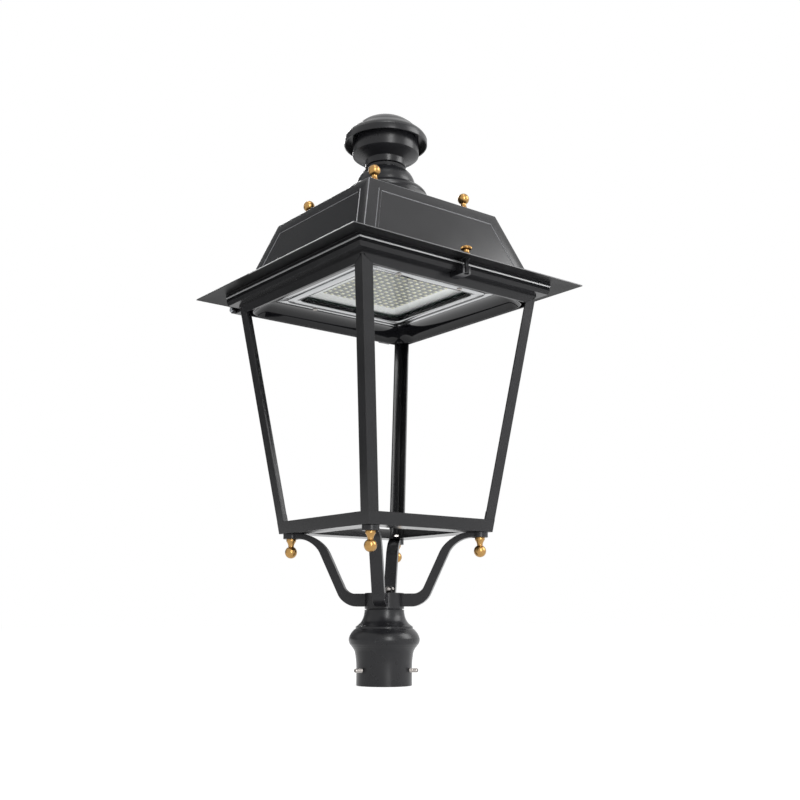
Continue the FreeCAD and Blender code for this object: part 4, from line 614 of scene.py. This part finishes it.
# Lacquered circuit board: mid grey, nearly matt.
board_grey = finish("lacquered_lamp_board", "#868684", "#929290", rough=(0.35, 0.5), blotch_mm=6,
                    bump_mm=0.8, depth_mm=0.004)

# Plain extruded aluminium: soft grey with the drawn-out lines of the die, running front to back.
plain_aluminium = finish("plain_extruded_aluminium", "#a9abad", "#bdbfc1", rough=(0.34, 0.5), blotch_mm=30,
                         bump_mm=1.1, depth_mm=0.012, stretch=(1, 0.06, 1), Metallic=1.0)

dress(glass, "glass_cover")
dress(white_paint, "reflector_plate")
dress(board_grey, "led_board")
dress(sponge, "glass_gasket")
dress(plain_aluminium, "spacer_frame", "heat_sink", "tray_pillars", "gear_standoffs")


# ------------------------------------------------------------ light sources
# Twelve rows of twelve small light sources, soldered to the underside of the lamp board.
# Each is a moulded square carrier with a low round lens of silicone.

# Moulded carrier: a slightly creamy white, nearly matt.
carrier_white = finish("moulded_white_carrier", "#dcdcd0", "#e6e6da", rough=(0.4, 0.5), blotch_mm=2)

# Silicone over phosphor: pale yellow, wet looking, with a little light in its depth.
phosphor = finish("silicone_phosphor_lens", "#f6eec0", "#fbf5d2", rough=(0.12, 0.2), blotch_mm=2,
                  Subsurface_Weight=0.15)

PITCH = 12.2
ROWS = 12
BOARD_UNDER = 596.5
CARRIER_WIDE = 5.4
CARRIER_TALL = 0.7

spots = [(k - (ROWS - 1) / 2) * PITCH for k in range(ROWS)]
grid = [shift(x, y, BOARD_UNDER) for x in spots for y in spots]
base = bmesh.new()
bmesh.ops.create_cube(base, size=1.0)
bmesh.ops.scale(base, verts=base.verts, vec=(CARRIER_WIDE * MM, CARRIER_WIDE * MM, CARRIER_TALL * MM))
bmesh.ops.translate(base, verts=base.verts, vec=(0, 0, -CARRIER_TALL / 2 * MM))
piece("light_source_carriers", join(bmesh.new(), base, *grid), carrier_white, "frame", "phosphor", "led_chips")
dome = lathe([(0, -0.6), (2.15, -0.6), (2.0, -1.0), (1.3, -1.4), (0, -1.5)], steps=12)
piece("light_source_lenses", join(bmesh.new(), dome, *grid), phosphor, "frame", "phosphor", sharp=60)


# -------------------------------------------------------------- tray screws
# Four pan head screws with a recess, two at the front and two at the back, go up through the tray and the
# spacers into the heat sink. They are turned stainless steel, like the other screws.

# From the shank's inner end down to the rounded head and its recess, measured from under the head.
pan_outline = [(0, 18.5), (2, 18.5), (2, 0), (3.3, 0), (3.85, -0.5), (3.9, -1.2)]
pan_outline += [(3.2, -2.1), (1.9, -2.45), (1.6, -1.2), (0, -1.2)]
front = [shift(x, -109, 583.2) for x in (-58, 58)]
back = [shift(x, 119, 584.3) for x in (-52, 52)]
pans = join(bmesh.new(), lathe(pan_outline, steps=32), *front, *back)
piece("tray_pan_screws", pans, turned_steel, "frame", "stainless", "tray_screws", sharp=35)


# --------------------------------------------------------------- roof skirt
# An overhanging square skirt with a drip edge and a band that drops over the joint, open in the middle.
# Folded from sheet aluminium, welded and powder coated; a small boss takes the closing screw.

# Powder-coated sheet: flat and even, the smoothest of the black faces.
sheet_black = finish("powder_coated_sheet", "#151516", "#19191b", rough=(0.15, 0.20), blotch_mm=90,
                     bump_mm=3.0, depth_mm=0.0005, Specular_IOR_Level=0.34)

# Painted highlight on the eave's rounded edge: a dark grey, lighter than the sheet, in place of the light line that
# the edge catches.
eave_painted_highlight = finish("painted_highlight_on_eave_edge", "#39393b", "#464648", rough=(0.22, 0.30), blotch_mm=20,
                   bump_mm=2.0, depth_mm=0.001, Specular_IOR_Level=0.36)

# Painted highlight: the left eave's outer face, in front of a cut behind the axis, is bright metal in place of the
# white line of light along that edge.
left_eave_painted_highlight = finish("painted_highlight_left_eave", "#c9cacb", "#dcdddd", rough=(0.3, 0.42), blotch_mm=8,
                     bump_mm=0.9, depth_mm=0.002, Metallic=1.0)

# Painted shade on the underside: a darker black that mirrors the floor less than the faces above, in place of the
# shade under the skirt.
underside_painted_shade = finish("painted_shade_on_underside", "#0e0e0f", "#121213", rough=(0.30, 0.36), blotch_mm=60,
                    bump_mm=3.0, depth_mm=0.0002, Specular_IOR_Level=0.08)

EAVE_HALF = 215
EAVE_UP = 593.3
EAVE_BEVEL = 1.3
LEFT_HIGHLIGHT_END = 50    # how far behind the axis the painted highlight on the left eave runs
SCREW_FRONT = -190    # where the closing screw stands, in front of the axis
EAVE_HIGHLIGHT_FACES, LEFT_EAVE_HIGHLIGHT_FACES, UNDERSIDE_SHADE_FACES = 1, 2, 3


def square_course(outline):
    """A closed square course of four equal sides, drawn from one square loop through (half-width, height) pairs."""
    shape = bmesh.new()
    half, high = outline[0]
    square = Matrix.Translation((0, 0, high * MM)) @ Matrix.Rotation(math.radians(45), 4, "Z")
    bmesh.ops.create_circle(shape, segments=4, radius=half * math.sqrt(2) * MM, matrix=square)
    loop = shape.edges[:]
    for wide, tall in outline[1:] + outline[:1]:
        grown = bmesh.ops.extrude_edge_only(shape, edges=loop)["geom"]
        ends = only(bmesh.types.BMVert, grown)
        loop = [e for e in only(bmesh.types.BMEdge, grown) if all(v in ends for v in e.verts)]
        bmesh.ops.scale(shape, verts=ends, vec=(wide / half, wide / half, 1))
        bmesh.ops.translate(shape, verts=ends, vec=(0, 0, (tall - high) * MM))
        half, high = wide, tall
    bmesh.ops.remove_doubles(shape, verts=shape.verts, dist=MERGE)
    bmesh.ops.recalc_face_normals(shape, faces=shape.faces)
    return shape


skirt_outline = [(EAVE_HALF, 591.3), (EAVE_HALF, EAVE_UP), (160.34, 603), (157.4, 603), (157.4, 601.2)]
skirt_outline += [(176.9, 598.0), (176.9, 592.2), (179.0, 592.2), (180.5, 593.7), (180.5, 597.4)]
skirt = square_course(skirt_outline)
outer = [v for v in skirt.verts if abs(v.co.z - EAVE_UP * MM) < 0.01 * MM and abs(v.co.x) > (EAVE_HALF - 5) * MM]
eave = [e for e in skirt.edges if all(v in outer for v in e.verts)]
# Painted highlight: the eave's rounded edge takes the lighter grey.
for face in round_off(skirt, eave, EAVE_BEVEL, 4, "EDGES"):
    face.material_index = EAVE_HIGHLIGHT_FACES
everything = skirt.verts[:] + skirt.edges[:] + skirt.faces[:]
bmesh.ops.bisect_plane(skirt, geom=everything, dist=0.001 * MM, plane_co=(0, LEFT_HIGHLIGHT_END * MM, 0),
                       plane_no=(0, 1, 0))
skirt.normal_update()
# Painted highlight and shade: the left eave's outer face before the cut takes the bright metal, and the downward
# faces take the darker black.
for face in skirt.faces:
    middle = face.calc_center_median()
    if middle.x < -(EAVE_HALF - 1.5) * MM and middle.y < LEFT_HIGHLIGHT_END * MM and face.normal.x < -0.8:
        face.material_index = LEFT_EAVE_HIGHLIGHT_FACES
    elif face.normal.z < -0.9:
        face.material_index = UNDERSIDE_SHADE_FACES
boss = bmesh.new()
bmesh.ops.create_cone(boss, cap_ends=True, segments=48, radius1=7.5 * MM, radius2=7.3 * MM, depth=5.4 * MM)
join(skirt, boss, shift(0, SCREW_FRONT, 597.3))
skirt_finishes_and_painted_light = (sheet_black, eave_painted_highlight, left_eave_painted_highlight, underside_painted_shade)
piece("overhanging_skirt", skirt, skirt_finishes_and_painted_light, "roof", "black_paint", "roof_skirt", ease=0.3)


# ----------------------------------------------------------------- painted highlight line
# A thin pale skin laid over the bevel of the band, riding on the roof: a painted highlight in place of the light
# line that the bevel catches all round the joint.

# Painted highlight: a light grey, nearly matt, in place of the light on the band's bevel.
joint_painted_highlight = finish("painted_highlight_round_joint", "#858585", "#929292", rough=(0.35, 0.5), blotch_mm=12,
                  bump_mm=1.0, depth_mm=0.004)
highlight_line_outline = [(179.1, 591.3), (179.5, 591.2), (180.7, 592.4), (180.7, 592.8), (180.2, 592.8), (179.1, 591.7)]
piece("painted_highlight_line", square_course(highlight_line_outline), joint_painted_highlight, "roof", "rubber")


# --------------------------------------------------------------------- hood
# A four-sided hood with a flat top plate and a raised bead round each panel, standing on the skirt.
# Pressed from sheet aluminium, welded along the corners and powder coated like the skirt.

# Painted highlight on folds and beads: a grey much lighter than the flat of the sheet, in place of the light that
# they catch.
fold_painted_highlight = finish("painted_highlight_on_folds", "#6a6a6c", "#808083", rough=(0.24, 0.32), blotch_mm=20,
                   bump_mm=2.0, depth_mm=0.001, Specular_IOR_Level=0.4)

SLOPE_LOW, SLOPE_HIGH = 563.0, 710.5    # the slope runs on down to here, inside the skirt, before it is cut
LOW_HALF, HIGH_HALF = 174.42, 122.5
SLOPE = (LOW_HALF - HIGH_HALF) / (SLOPE_HIGH - SLOPE_LOW)
SKIRT_TOP = 603
PANEL_AREA = 0.02    # square metres; only the four panels and the top are larger
PANEL_IN = 16.6    # from a fold to the bead
PANEL_LIFT = 2.1    # the bead's upper side lies this much nearer to the top fold
BEAD_WIDE = 4.0
BEAD_FLANK, BEAD_HIGH = 0.7, 0.85

hood = bmesh.new()
middle_up = (SLOPE_LOW + SLOPE_HIGH) / 2
pyramid = Matrix.Translation((0, 0, middle_up * MM)) @ Matrix.Rotation(math.radians(45), 4, "Z")
bmesh.ops.create_cone(hood, cap_ends=True, segments=4, radius1=LOW_HALF * math.sqrt(2) * MM,
                      radius2=HIGH_HALF * math.sqrt(2) * MM, depth=(SLOPE_HIGH - SLOPE_LOW) * MM, matrix=pyramid)
hood.normal_update()
folds = [e for e in hood.edges if max(v.co.z for v in e.verts) > (SLOPE_HIGH - 1) * MM]
lit = round_off(hood, folds, 1.0, 4, "EDGES")
hood.normal_update()
panels = [f for f in hood.faces if f.calc_area() > PANEL_AREA and abs(f.normal.z) < 0.9]
bmesh.ops.inset_individual(hood, faces=panels, thickness=PANEL_IN * MM, use_even_offset=True)
inward = SLOPE * PANEL_LIFT
for v in {v for f in panels for v in f.verts if v.co.z > (SLOPE_HIGH - 30) * MM}:
    v.co += Vector((-math.copysign(inward, v.co.x), -math.copysign(inward, v.co.y), PANEL_LIFT)) * MM
for width, rise in ((BEAD_FLANK, BEAD_HIGH), (BEAD_WIDE, 0.0), (BEAD_FLANK, -BEAD_HIGH)):
    ring = bmesh.ops.inset_individual(hood, faces=panels, thickness=width * MM, depth=rise * MM,
                                      use_even_offset=True)["faces"]
    lit += ring if rise else []
# Painted highlight: the rounded folds and the beads' flanks take the lighter grey.
for face in lit:
    face.material_index = 1
everything = hood.verts[:] + hood.edges[:] + hood.faces[:]
bmesh.ops.bisect_plane(hood, geom=everything, dist=0.001 * MM, plane_co=(0, 0, SKIRT_TOP * MM),
                       plane_no=(0, 0, 1), clear_inner=True)
bmesh.ops.recalc_face_normals(hood, faces=hood.faces)
piece("panelled_hood", hood, (sheet_black, fold_painted_highlight), "roof", "black_paint", "roof_hood", ease=0.25, wall=2.6)


# --------------------------------------------------------------- chimney
# Three turned castings on a threaded rod: a flared foot with a bell, a bowl with a drum, and a domed cap.
# Cast aluminium, powder coated, with rolled shoulders and a deep rim that throws a shadow on the drum.

foot = [(91.4, 710.5), (92, 711.1), (92, 713.2)]
foot += smooth_run([(91.8, 713.6), (86.5, 722.5), (79.5, 732), (71.8, 741), (66.4, 747.6)])
foot += [(65.6, 748.2), (65.6, 749.8)]
foot += smooth_run([(66.0, 751.2), (64.2, 754.6), (60.4, 758.6), (54.8, 762.2), (48.6, 764.6)])
foot += smooth_run([(47.4, 765.2), (46.8, 771.6), (44.2, 780), (39.0, 788), (30.6, 794.4)])
foot += [(29.8, 794.9), (31.3, 798.6), (30.9, 799), (28.5, 799), (28.5, 800), (4.3, 800), (4.3, 796.6)]
foot += [(26.8, 796.6), (26.8, 791), (41, 771.5), (42.5, 761), (56.5, 754), (56.5, 746), (88.6, 713.4)]
foot += [(88.6, 710.5)]
piece("chimney_foot", lathe(foot, closed=True), cast_black, "roof", "black_paint", "chimney_base")

bowl = [(31.8, 800.2), (32.4, 800.8), (32.4, 810.0)]
bowl += smooth_run([(32.6, 810.6), (36.8, 812.6), (42.8, 815.0), (48.8, 817.6), (52.7, 820.4)])
bowl += [(53, 821.4), (53, 850), (50.4, 850), (50.4, 822.6), (29.5, 812.2), (29.5, 803), (4.3, 803), (4.3, 800.2)]
piece("chimney_bowl_turned", lathe(bowl, closed=True), cast_black, "roof", "black_paint", "chimney_bowl")

cap = smooth_run([(0, 889.5), (12, 887.4), (24, 882.6), (36, 876.6), (45.6, 869.3)])
cap += smooth_run([(46.2, 868.8), (52, 862.8), (58, 858), (63, 853.4), (66.2, 848.4)])
cap += [(66.6, 847.4), (66.6, 838.6), (66.2, 838), (64.8, 838), (64.4, 838.6), (64.4, 850), (44, 850)]
cap += [(44, 862), (30, 873), (10, 879), (9, 868), (4.2, 868), (4.2, 884), (0, 884)]
piece("chimney_cap_domed", lathe(cap), cast_black, "roof", "black_paint", "chimney_cap")


# --------------------------------------------------------- control gear
# Driver, terminal block, surge protector and cable inlet, screwed to a zinc plated tray above the heat sink.
# They show only with the roof swung back: an enamelled steel case and plain moulded nylon.

# Grey enamel on steel: even, half matt.
grey_case = finish("grey_enamelled_case", "#5b5e62", "#64676b", rough=(0.35, 0.5), blotch_mm=30,
                   bump_mm=1.6, depth_mm=0.01)

# Moulded nylon in white, red and black: dull, with the fine grain of the mould.
white_moulding = finish("moulded_white_nylon", "#d6d5cf", "#e0dfda", rough=(0.45, 0.6), blotch_mm=12,
                        bump_mm=0.9, depth_mm=0.008)
red_moulding = finish("moulded_red_nylon", "#7c1d18", "#8c241e", rough=(0.4, 0.55), blotch_mm=12,
                      bump_mm=0.9, depth_mm=0.008)
black_moulding = finish("moulded_black_nylon", "#17171a", "#1f1f22", rough=(0.5, 0.65), blotch_mm=12,
                        bump_mm=0.9, depth_mm=0.01)
dress(grey_case, "driver")
dress(white_moulding, "terminal_block")
dress(red_moulding, "surge_protector")
dress(black_moulding, "cable_gland", "gland_nut")


# --------------------------------------------------------- closing screw
# A knurled brass screw through the front of the skirt, whose stem stands in the forked lug of the frame.
# Turned from brass bar, with a rolled knurl round the rim of the head and a flange that bears on the skirt.

KNURL_UP = 611.0
STEM_STEP = 1.0    # the stem's thread, coarse enough to show

knob = [(0, 600.2), (6.0, 600.3), (6.2, 600.6), (6.2, 602.0)]
knob += smooth_run([(6.0, 602.4), (5.0, 603.8), (4.3, 605.8), (4.2, 608.6)])
knob += [(4.6, 608.8), (7.0, 609.0), (7.9, 609.8), (7.9, 612.2), (7.2, 613.2), (4.6, 613.9), (0, 614.1)]
knurled = lathe(knob, steps=72)
centres = {f: f.calc_center_median() for f in knurled.faces}
level = [f for f in knurled.faces if abs(centres[f].z - KNURL_UP * MM) < 0.5 * MM]
rim = [f for f in level if math.hypot(*centres[f].xy) > 7.7 * MM]
bmesh.ops.inset_individual(knurled, faces=rim, thickness=0.2 * MM, depth=-0.3 * MM, use_even_offset=True)
bmesh.ops.translate(knurled, verts=knurled.verts, vec=(0, SCREW_FRONT * MM, 0))
piece("knurled_screw", knurled, brass, "closing_screw", "brass", "closing_screw", sharp=30)

# Under the skirt the stem is steel, blackened, with its thread, and a ring keeps it in the roof.
stem = [(0, 574.5), (2.3, 574.5), (3, 575.4)]
for k in range(8):
    stem += [(3.0, 576.0 + STEM_STEP * k), (2.65, 576.5 + STEM_STEP * k)]
stem += [(3, 584.4), (3, 592.9), (4.6, 593.2), (4.6, 594.4), (3, 594.7), (3, 600.3), (0, 600.3)]
threaded = lathe(stem, steps=36)
bmesh.ops.translate(threaded, verts=threaded.verts, vec=(0, SCREW_FRONT * MM, 0))
piece("threaded_stem", threaded, oxide_black_and_washer_shade, "closing_screw", "stainless", sharp=30)
